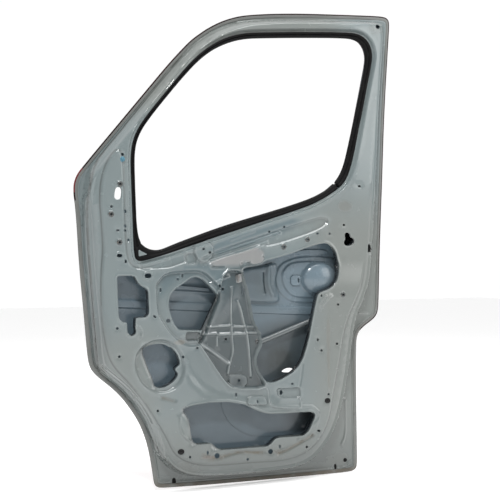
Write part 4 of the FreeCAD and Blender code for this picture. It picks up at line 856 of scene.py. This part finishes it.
groups = []
for poly, delta, w in SKS:
    groups += iso(poly, (-0.5 * w - 1, -0.3 * w, 0.0, 0.3 * w, 0.5 * w + 1), 5.0, 2.0)
for q in np.linspace(0.08, 1.1, 16):
    n = max(8, int(q * 60))
    k = np.arange(n) * 2 * math.pi / n
    groups.append((np.stack([BX + 68 * q * np.cos(k), BZ + 56 * q * np.sin(k)], 1), 1.8))
for line, w, h in SKB:
    L = resample(line, 8.0 if w > 8 else 4.0, False)
    t = np.gradient(L, axis=0)
    t /= np.maximum(1e-9, np.hypot(*t.T))[:, None]
    nrm = np.stack([-t[:, 1], t[:, 0]], 1)
    for o in (0, 0.35, -0.35, 0.55, -0.55, 0.8, -0.8, 1.0, -1.0, 1.2, -1.2):
        groups.append((L + nrm * o * w, 1.6))
groups += iso(OUT, (-4, -9, -16), 9.0, 3.0)
groups.append((hexgrid(np.min(OUT, 0), np.max(OUT, 0), 17.0), 8.0))
flange_holes = [h for h in HOLES if h[:2] in FLANGE_HOLES]
for x, z, a, b, t in flange_holes:
    for o in (3.0, 8.0):
        groups.append((resample(ellipse(x, z, a + o, b + o, t), 4.0), 1.8))
win = shift(SEO, -4.0)
sv, sf = triangulate(resample(shift(OUT, -0.9), 6.0), [win] + SKH, groups)
dk = relief_skin(sv)
verts, faces, nf, nb = sheet_solid(sv, sf, dk, 1.1)
print("outer skin", len(sv), len(faces))
nf_skin, nb_skin = nf, nb
section = [(0.7, 0.05), (0.15, 0.5), (0.0, 1.3), (0.0, 3.4), (0.25, 4.5), (1.0, 5.1), (2.4, 5.35), (4.0, 5.36), (6.5, 5.3), (11.0, 5.2), (11.8, 4.9), (12.0, 4.3), (11.8, 3.8), (2.0, 3.65), (1.5, 2.4), (1.3, 1.0)]
loops = [shift(OUT, -o) for o, d in section]
n = len(OUT)
wob = 0.25 * np.sin(np.arange(n) * 0.37) + 0.18 * np.sin(np.arange(n) * 0.113 + 1.0)
hv = np.vstack([pos(l[:, 0], l[:, 1], d + (wob if 0.9 < o < 11.9 and d > 4 else 0)) for l, (o, d) in zip(loops, section)])
hf = []
hm = []
m = len(section)
for k in range(m):
    for i in range(n):
        j = (i + 1) % n
        k2 = (k + 1) % m
        hf.append((k * n + i, k * n + j, k2 * n + j, k2 * n + i))
        hm.append(0 if k < 1 or k >= 14 or (k < 7 and OUT[i, 0] < -470 and 900 < OUT[i, 1] < 972) else 3 if k < 4 or (k < 7 and (OUT[i, 1] > 880 or OUT[i, 0] > 395)) else 2)
skin = mesh_object("outer_skin_shell", np.vstack([verts, hv]), list(faces) + [tuple(i + len(verts) for i in f) for f in hf])
for mm in (M_RED, M_CAVITY, M_HEM, M_LINE, M_HOLE_SHADOW):
    skin.data.materials.append(mm)
idx = np.zeros(len(skin.data.polygons), int)
idx[:nf] = 1
cen = sv[np.asarray(sf)].mean(1)
# skin faces behind the flange holes take the near-black painted shadow
for x, z, a, b, t in flange_holes:
    idx[:nf][np.hypot(cen[:, 0] - x, cen[:, 1] - z) < max(a, b) + 9.0] = 4
idx[len(faces):] = hm
skin.data.polygons.foreach_set("material_index", idx)
finish_piece(skin, "outer_paint", "outer_skin")


def orient(ob):
    """Outward normals on a closed piece."""
    import bmesh
    bm = bmesh.new()
    bm.from_mesh(ob.data)
    bmesh.ops.recalc_face_normals(bm, faces=bm.faces)
    bm.to_mesh(ob.data)
    bm.free()


orient(inner)
orient(skin)
shade_sheet(inner, len(vs_inner), nf_inner, relief_normals(vs_inner, relief_inner))
shade_sheet(skin, len(sv), nf_skin, relief_normals(sv, relief_skin), nb_skin)

# tone and dirt zones, painted shade and painted highlights of the inner pressing, worked out from its own outlines
P = vs_inner
zx, zz = P[:, 0], P[:, 1]
# painted shade in the regulator recess, and a soft painted shade round it
q = sdist(P, REG, 80)
shade = 0.95 * smooth((q + 1) / 7)
shade = np.maximum(shade, 0.42 * np.exp(-(((zx + 70) / 170) ** 2 + ((zz - 450) / 170) ** 2)))
# bluish painted shade in the recessed belt shelf and round the front opening
cool_shade = np.zeros(len(P))
for poly, amt, soft_ in ((SHADE_BELT, 0.85, 16.0), (SHADE_FRONT, 0.75, 34.0)):
    cool_shade = np.maximum(cool_shade, amt * smooth((sdist(P, ccw(poly), 60) + 0.5 * soft_) / soft_))
cool_shade = np.maximum(cool_shade, 0.35 * np.exp(-(((zx + 130) / 190) ** 2 + ((zz - 640) / 130) ** 2)))
# painted shade under the belt face at the top of the recess
for poly, amt, soft_ in ((SHADE_TOP, 0.75, 14.0),):
    shade = np.maximum(shade, amt * smooth((sdist(P, ccw(poly), 60) + 0.4 * soft_) / soft_))
# painted highlights along the recess outline and along its ribs and beads
rim = 0.75 * np.exp(-((q + 0.5) / 2.1) ** 2)
for line, w, h in BEADL[:11]:
    k = near_box(P, line, 2 * w)
    rim[k] = np.maximum(rim[k], 0.9 * np.exp(-(line_dist(P[k], line, False) / (0.7 * w)) ** 2))
for line, w, h in BEADL[-4:-2]:
    k = near_box(P, line, 2 * w)
    rim[k] = np.maximum(rim[k], 0.6 * np.exp(-(line_dist(P[k], line, False) / (0.8 * w)) ** 2))
# painted highlight on the upward-sloping belt face
pale = smooth((sdist(P, PAL, 40) + 1.0) / 3.0)
warm = np.maximum(0.85 * smooth((zx - 120) / 160) * smooth((1000 - zz) / 250), 0.8 * smooth((330 - zz) / 260))
warm = np.maximum(warm, 0.55 * smooth((-250 - zx) / 120) * smooth((560 - zz) / 150))
warm = np.maximum(warm, 0.8 * smooth((zz - 1080) / 120) * smooth((330 - zx) / 160))
# painted shade: darker towards the header, in the notch recess, towards the bottom and towards the front edge
shade = np.maximum(shade, 0.10 * smooth((zz - 1330) / 120) * smooth((300 - zx) / 160))
shade = np.maximum(shade, 0.75 * smooth((sdist(P, ccw(NOTCH), 30) + 1) / 3))
shade = np.maximum(shade, 0.40 * smooth((230 - zz) / 220))
shade = np.maximum(shade, 0.38 * smooth((-455 - zx) / 50) * smooth((700 - zz) / 300))
# thin painted shade lines at the feet of the steps
step_shadow_line = 0.8 * np.exp(-((sdist(P, STP, 40) + 0.3) / 1.7) ** 2) * np.where(zz > 1300, 0.6, 1.0)
q0 = sdist(P, STEPL[0][0], 40)
fade = np.maximum(smooth((-300 - zx) / 70), smooth((720 - zz) / 150))
step_shadow_line = np.maximum(step_shadow_line, 0.65 * np.exp(-((q0 + 3.0) / 1.9) ** 2) * fade)
# each step's outline: painted shade along its lower side and a painted highlight along its upper side
for poly, delta, w in STEPL[1:]:
    if w > 12 or abs(delta) < 3:
        continue
    k = near_box(P, poly, w + 6)
    q1 = sdist(P[k], poly) * (1 if delta < 0 else -1)
    step_shadow_line[k] = np.maximum(step_shadow_line[k], 0.30 * np.exp(-((q1 - 0.45 * w) / 1.8) ** 2))
    rim[k] = np.maximum(rim[k], 0.45 * np.exp(-((q1 + 0.45 * w) / 2.2) ** 2))
q2 = sdist(P, ccw(NOTCH), 30)
brown = np.zeros(len(P))
for line in CREASES:
    line = chaikin(line, 2, False)
    brown = np.maximum(brown, 0.8 * np.exp(-(line_dist(P, line, False) / 5.0) ** 2))
# painted black shadow along the far side of each opening's edge, painted highlights on its lips, and painted light on
# the near ramps of the speaker and pocket openings
edge_shadow_mask = np.zeros(len(P))
for name, poly in OPN.items():
    k = near_box(P, poly, 14)
    if not k.any() or name == "slot":
        continue
    o = -sdist(P[k], poly)
    away, fore = facing(P[k], poly)
    edge_shadow_mask[k] = np.maximum(edge_shadow_mask[k], away * np.clip(1.9 - o / 1.6, 0, 1))
    if name in ("speaker", "pocket"):
        pale[k] = np.maximum(pale[k], 0.55 * fore * np.clip(1.3 - o / 10.0, 0, 1))
    rim[k] = np.maximum(rim[k], 0.45 * away * np.exp(-((o - 5.0) / 2.2) ** 2))
    if name == "rear":
        rim[k] = np.maximum(rim[k], 0.85 * fore * np.exp(-((o - 3.0) / 3.0) ** 2))
for key, val in (("warm", warm), ("shade", shade), ("cool_shade", cool_shade), ("rim", rim), ("pale", pale), ("line", step_shadow_line), ("brown", brown), ("cut", edge_shadow_mask)):
    arr = np.zeros(len(inner.data.vertices), np.float32)
    arr[:len(P)] = val
    inner.data.attributes.new(key, "FLOAT", "POINT").data.foreach_set("value", arr)


# ------------------------------------------------------------------ rubber seals
def nearest(loop, p):
    A, B = loop, np.roll(loop, -1, 0)
    ab = B - A
    t = np.clip(np.sum((p - A) * ab, 1) / np.maximum(1e-9, np.sum(ab * ab, 1)), 0, 1)
    q = A + ab * t[:, None]
    return q[np.argmin(np.sum((q - p) ** 2, 1))]


# profile: share of the way from the outer to the inner edge, depth
RUN = [(0.00, 44.0), (0.03, 46.6), (0.10, 48.0), (0.22, 48.5), (0.34, 47.8), (0.42, 45.8), (0.46, 43.4), (0.52, 43.2), (0.57, 45.6), (0.66, 46.9), (0.80, 46.6), (0.92, 44.6), (0.99, 41.6), (1.00, 39.2),
       (0.96, 37.0), (0.84, 35.0), (0.72, 31.6), (0.62, 27.0), (0.54, 22.0), (0.46, 18.8), (0.36, 18.0), (0.08, 18.2), (0.0, 20.0)]
BELT = [(0.00, 42.5), (0.03, 45.2), (0.10, 47.2), (0.22, 48.4), (0.36, 48.0), (0.44, 46.4), (0.50, 46.2), (0.60, 47.2), (0.76, 46.8), (0.90, 44.2), (0.98, 41.0), (1.00, 38.0), (0.99, 33.0), (0.94, 29.6), (0.84, 28.3), (0.5, 28.0), (0.06, 28.4), (0.0, 30.0)]
pairs_out = resample(SEO, 4.0)
pairs_in = np.array([nearest(SEI, p) for p in pairs_out])
for _ in range(6):
    pairs_in = 0.5 * pairs_in + 0.25 * (np.roll(pairs_in, 1, 0) + np.roll(pairs_in, -1, 0))
zone = ccw([(-430, 690), (-430, 727), (-385, 737), (-330, 770), (150, 930), (262, 957), (286, 931), (330, 915), (330, 690)])
mid = 0.5 * (pairs_out + pairs_in)
inb = inside(mid, zone)


def run_of(mask):
    n = len(mask)
    s = next(i for i in range(n) if mask[i] and not mask[i - 1])
    out = []
    i = s
    while mask[i % n]:
        out.append(i % n)
        i += 1
    return out


def seal(name, ids, prof, node):
    prof = np.array(prof)
    m = len(prof)
    rows = []
    for k, i in enumerate(ids):
        a, b = pairs_out[i], pairs_in[i]
        w = np.hypot(*(b - a))
        ends = min(k, len(ids) - 1 - k)
        sq = 1.0 - 0.10 * math.exp(-ends / 1.2)
        wave = 0.35 * math.sin(k * 0.21) + 0.2 * math.sin(k * 0.53 + 2)
        q = a + (b - a) * (0.5 + (prof[:, :1] - 0.5) * sq)
        cd = 0.5 * (prof[:, 1].min() + prof[:, 1].max())
        d = cd + (prof[:, 1] - cd) * sq + np.where(prof[:, 1] > 40, wave, 0)
        rows.append(pos(q[:, 0], q[:, 1], d))
    v = np.vstack(rows)
    f = []
    for r in range(len(ids) - 1):
        for k in range(m):
            k2 = (k + 1) % m
            f.append((r * m + k, r * m + k2, (r + 1) * m + k2, (r + 1) * m + k))
    f.append(tuple(range(m)))
    f.append(tuple((len(ids) - 1) * m + k for k in range(m - 1, -1, -1)))
    ob = mesh_object(name, v, f)
    orient(ob)
    ob.data.materials.append(M_RUBBER)
    return finish_piece(ob, "seal_rubber", node)


ids_g = run_of(~inb)
ids_b = [ids_g[-1]] + run_of(inb)[:-1]
seal("window_channel_rubber", ids_g, RUN, "glass_run_seal")
seal("waist_rubber", ids_b, BELT, "belt_seal")


# ------------------------------------------------------------------ small pieces
def lathe(name, prof, seg, centre, d, lobes=0, stretch=1.0):
    """Turned piece on the door: prof is radius (mm) and height toward the cab (mm)."""
    m = len(prof)
    k = np.arange(seg) * 2 * math.pi / seg
    v = []
    for r, h in prof:
        rr = r * (1 + (0.035 * np.cos(lobes * k) if lobes and r > 4 else 0))
        v.append(pos(centre[0] + rr * np.cos(k) * stretch, centre[1] + rr * np.sin(k), d + h + 0 * k))
    v = np.vstack(v)
    f = []
    for a in range(m):
        b = (a + 1) % m
        for i in range(seg):
            j = (i + 1) % seg
            f.append((a * seg + i, a * seg + j, b * seg + j, b * seg + i))
    return v, f


def joined(name, parts, mat, slot, *nodes):
    vs_, fs_ = [], []
    b = 0
    for v, f in parts:
        vs_.append(v)
        fs_ += [tuple(i + b for i in q) for q in f]
        b += len(v)
    ob = mesh_object(name, np.vstack(vs_), fs_)
    orient(ob)
    ob.data.materials.append(mat)
    return finish_piece(ob, slot, *nodes)


def at(x, z):
    return float(relief_inner(np.array([[x, z]], float))[0])


plug = [(0.35, 4.6), (3.2, 4.5), (3.6, 3.6), (5.2, 3.5), (7.2, 3.0), (8.0, 1.9), (8.1, 0.7), (7.6, 0.2), (4.4, -0.2), (4.2, -6.0), (3.6, -7.0), (0.35, -7.2)]
joined("blue_hole_plug", [lathe("p", plug, 36, PLUG, at(*PLUG))], M_BLUE, "blue_plastic", "blue_plug")
# rivet nuts are painted over
nut = [(3.3, -3.0), (3.3, 1.2), (4.0, 1.9), (6.2, 2.0), (7.0, 1.4), (8.2, 0.9), (8.5, 0.3), (8.2, -0.3), (5.0, -0.6), (4.8, -3.0)]
joined("mirror_rivet_nuts", [lathe("n", nut, 30, c, at(c[0] + 6.5, c[1]), 6) for c in NUT_SPOTS], M_STEEL, "plated_steel", "mirror_nuts")
joined("trim_rivet_nuts", [lathe("n", nut, 30, c, at(c[0] + 6.5, c[1]), 6) for c in TNUTS], M_STEEL, "plated_steel", "trim_nuts")
joined("regulator_rivet_nut", [lathe("n", nut, 30, RNUT, at(RNUT[0] - 4.5, RNUT[1]), 6)], M_STEEL, "plated_steel", "regulator_nut")
bung = [(0.4, 0.6), (3.4, 0.7), (4.0, 1.6), (6.2, 2.3), (7.6, 1.9), (8.2, 0.9), (8.0, 0.1), (5.6, -0.2), (5.4, -3.0), (0.4, -3.2)]
joined("rubber_bungs", [lathe("b", bung, 32, c, at(c[0] + 11, c[1]), 0, 1.25) for c in BUNGS], M_BUNG, "bung_rubber", "drain_plugs")

# plate welded behind the sail round the mirror opening
mp_loop = resample(bevel(ccw(MPLATE), 12.0), 6.0)
slot_big = resample(shift(OPN["slot"], 4.0), 3.0)
mv, mf = triangulate(mp_loop, [slot_big], [(hexgrid(mp_loop.min(0), mp_loop.max(0), 9.0), 5.0)])
v, f, _, _ = sheet_solid(mv, mf, np.minimum(relief_inner(mv), 58.0) - 4.0, 1.6)
joined("mirror_mount_plate", [(v, f)], M_CAVITY, "cavity_paint", "mirror_reinforcement")

# painted corner of the frame between the two rubbers
gl = resample(bevel(ccw(GUSSET), 2.0), 2.5)
gv, gf = triangulate(gl, [], [(hexgrid(gl.min(0), gl.max(0), 4.0), 2.0)])
v, f, _, _ = sheet_solid(gv, gf, 48.9 + 0.5 * smooth(sdist(gv, gl) / 2.0), 2.0)
joined("frame_corner", [(v, f)], M_INNER, "inner_paint")

# folded spring clip on the regulator panel
cx, cz = CLIPP
cd = at(cx, cz)
prof = [(-14, -0.4), (-9, 0.6), (-8, 5.0), (-5, 6.6), (0, 7.0), (5, 6.6), (8, 5.0), (9, 0.6), (14, -0.4)]
rows = []
for sgn, off in ((1, 0.0), (1, 1.1)):
    for zz in (-13.0, -11.5, -4.0, 4.0, 11.5, 13.0):
        wd = 1.0 if abs(zz) < 12 else 0.88
        rows.append(pos(np.array([cx + p[0] * wd for p in prof]), np.full(len(prof), cz + zz) + 0.25 * np.array([p[0] for p in prof]), np.array([cd + p[1] + off for p in prof])))
v = np.vstack(rows)
m, n = len(prof), 6
f = []
for s in range(2):
    for r in range(n - 1):
        for k in range(m - 1):
            b = s * n * m + r * m + k
            f.append((b, b + 1, b + m + 1, b + m))
for r in range(n - 1):
    for k in (0, m - 1):
        b = r * m + k
        f.append((b, b + m, b + m + n * m, b + n * m))
for k in range(m - 1):
    for r in (0, n - 1):
        b = r * m + k
        f.append((b, b + 1, b + 1 + n * m, b + n * m))
clip = mesh_object("spring_clip", v, f)
orient(clip)
clip.data.materials.append(M_ZINC)
finish_piece(clip, "plated_steel", "belt_clip")

# stepped plate beside the handle bowl, with bead and slot, and the small square boss
hp_wide = [(x - 42.0, z) if x < 20 else (x, z) for x, z in HP]
hp = resample(chaikin(ccw(hp_wide), 1), 4.0)
slot_line = np.asarray(HPS, float)
slot_loop = ccw(np.vstack([slot_line + (1.1, 0), (slot_line - (1.1, 0))[::-1]]))
hb = chaikin(HPB, 2, False)
g = iso(hp, (-1.5, -4.0, -7.0), 4.0, 1.6)
L = resample(hb, 4.0, False)
for o in (-9, -6, -3.5, 0, 3.5, 6, 9):
    g.append((L + np.array([o, 0.0]), 1.6))
g.append((hexgrid(hp.min(0), hp.max(0), 8.0), 4.5))
pv, pf = triangulate(hp, [resample(slot_loop, 3.0)], g)
ed = sdist(pv, hp)
dp = 5.0 + 7.0 * smooth((ed - 0.5) / 7.0)
r = line_dist(pv, hb, False)
dp += 5.5 * smooth((9 - r) / 6.0)
v, f, nf, nb = sheet_solid(pv, pf, dp, 1.2)
sq = ccw(SQ)
v2, f2, _, _ = None, None, None, None
sqv, sqf = triangulate(resample(chaikin(sq, 1), 3.0), [ellipse(sq[:, 0].mean() + 9, sq[:, 1].mean(), 2.4, 7.0, 0)], iso(resample(chaikin(sq, 1), 3.0), (-1.5, -3.5, -6), 3.0, 1.4) + [(hexgrid(sq.min(0), sq.max(0), 5.0), 3.0)])
es = sdist(sqv, sq)
v2, f2, _, _ = sheet_solid(sqv, sqf, 12.5 + 5.0 * smooth((es + 2) / 5.0), 1.2)
joined("handle_plate", [(v, f), (v2, f2)], M_CAVITY, "cavity_paint", "handle_reinforcement")

# ------------------------------------------------------------------ CAD pieces that stay
for name in ("outer_belt_reinforcement", "lower_stiffener", "side_impact_beam", "beam_rear_bracket", "latch_reinforcement"):
    ob = bpy.data.objects.get(name)
    if ob is None:
        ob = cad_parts[name]
    ob.data.materials.clear()
    ob.data.materials.append(M_CAVITY)
M_BEAM = paint("beam_paint", (0.105, 0.120, 0.124), (0.095, 0.110, 0.114), (0.115, 0.130, 0.134), rough=(0.12, 0.20), coat=1.0, bottom=False)
bpy.data.objects["side_impact_beam"].data.materials.clear()
bpy.data.objects["side_impact_beam"].data.materials.append(M_BEAM)
# bracket that carries the front end of the beam
bl = resample(chaikin(ccw([(-386, 311), (-330, 310), (-268, 320), (-222, 366), (-196, 372), (-184, 352), (-214, 322), (-262, 284), (-330, 266), (-378, 262)]), 1), 5.0)
bv_, bf_ = triangulate(bl, [ellipse(-352, 288, 4.0, 4.0, 0), ellipse(-318, 288, 4.0, 4.0, 0)], iso(bl, (-1.5, -4.0, -7.0), 4.0, 1.6) + [(hexgrid(bl.min(0), bl.max(0), 8.0), 4.5)])
v, f, _, _ = sheet_solid(bv_, bf_, np.minimum(27.4 + 3.0 * (1 - smooth((sdist(bv_, bl) - 1.0) / 6.0)), relief_inner(bv_) - 5.0), 1.2)
joined("beam_end_bracket", [(v, f)], M_CAVITY, "cavity_paint", "beam_front_bracket")

# threaded plates behind the pressing where the hinges bolt on
for name, x0, z0, node in (("upper_hinge_plate", -497.0, 700.0, "upper_hinge_seat_plate"), ("lower_hinge_plate", -476.0, 450.0, "lower_hinge_seat_plate")):
    hl = resample(bevel(ccw([(x0 - 13, z0 - 45), (x0 + 13, z0 - 45), (x0 + 13, z0 + 45), (x0 - 13, z0 + 45)]), 5.0), 4.0)
    hh = [ellipse(x0 - 1, z0 + o, 5.0, 5.0, 0) for o in (-24.0, 24.0)]
    hv_, hf_ = triangulate(hl, hh, iso(hl, (-1.5, -4.0), 4.0, 1.4) + [(shift(e, 1.8), 1.0) for e in hh] + [(hexgrid(hl.min(0), hl.max(0), 6.0), 3.0)])
    back = float(np.min(relief_inner(hv_))) - 2.2
    v, f, _, _ = sheet_solid(hv_, hf_, back - 0.8 * (1 - smooth(sdist(hv_, hl) / 2.0)), 7.0)
    joined(name, [(v, f)], M_CAVITY, "cavity_paint", node)

# ------------------------------------------------------------------ floor, light, camera
lo, hi = cad_box
fz = float(lo[2]) - 0.001
fl = mesh_object("studio_floor", [(-7, -7, fz), (8, -7, fz), (8, 9, fz), (-7, 9, fz)], [(0, 1, 2, 3)], False)
fm, nt, bs, co = start("pale_floor")
nt.links.new(mix(nt, noise(nt, co, 2.0, 3), (0.86, 0.86, 0.86), (0.89, 0.89, 0.89)), bs.inputs["Base Color"])
bs.inputs["Roughness"].default_value = 0.75
bs.inputs["Emission Color"].default_value = (1, 1, 1, 1)
bs.inputs["Emission Strength"].default_value = 0.3
fl.data.materials.append(fm)

w = bpy.data.worlds.new("studio")
bpy.context.scene.world = w
w.use_nodes = True
nt = w.node_tree
nt.nodes.clear()
wo = nt.nodes.new("ShaderNodeOutputWorld")
bg = nt.nodes.new("ShaderNodeBackground")
tc = nt.nodes.new("ShaderNodeTexCoord")
sp = nt.nodes.new("ShaderNodeSeparateXYZ")
nt.links.new(tc.outputs["Generated"], sp.inputs[0])
cr = nt.nodes.new("ShaderNodeMapRange")
cr.inputs["From Min"].default_value = -0.25
cr.inputs["From Max"].default_value = 0.45
cr.inputs["To Min"].default_value = 0.42
cr.inputs["To Max"].default_value = 1.02
nt.links.new(sp.outputs["Y"], cr.inputs["Value"])
bg.inputs["Color"].default_value = (1.0, 1.0, 1.0, 1)
nt.links.new(cr.outputs["Result"], bg.inputs["Strength"])
nt.links.new(bg.outputs[0], wo.inputs[0])


def area(name, loc, target, size, power, colour=(1, 1, 1)):
    li = bpy.data.lights.new(name, "AREA")
    li.shape = "RECTANGLE"
    li.size, li.size_y = size
    li.energy = power
    li.color = colour
    ob = bpy.data.objects.new(name, li)
    bpy.context.scene.collection.objects.link(ob)
    ob.location = loc
    ob.rotation_euler = (Vector(target) - Vector(loc)).to_track_quat("-Z", "Y").to_euler()
    return ob


area("key", (-0.55, -2.35, 2.55), (0.42, 0.0, 0.15), (0.55, 0.4), 58)
area("overhead", (0.6, -0.95, 2.3), (0.5, 0.0, 0.05), (2.2, 0.6), 32)
area("fill", (2.7, -2.0, 0.8), (0.4, 0.0, 0.1), (1.8, 1.8), 24, (1.0, 0.99, 0.975))
area("back", (0.8, 3.0, 2.2), (0.5, 0.0, 0.0), (2.0, 1.4), 30)
bpy.context.scene.view_settings.view_transform = "Standard"

cam = bpy.data.cameras.new("photo_camera")
cam.sensor_width = 36.0
cam.lens = 900.0 / 500.0 * 36.0
co_ = bpy.data.objects.new("photo_camera", cam)
bpy.context.scene.collection.objects.link(co_)
th = math.radians(21.84)
co_.location = ((-2874.0 * math.sin(th) + OX) / 1000, (-2874.0 * math.cos(th) + OY) / 1000, (730.0 - OZ) / 1000)
co_.rotation_euler = Vector((math.sin(th), math.cos(th), 0)).to_track_quat("-Z", "Y").to_euler()
cam.clip_end = 100
bpy.context.scene.camera = co_

bpy.context.view_layer.update()
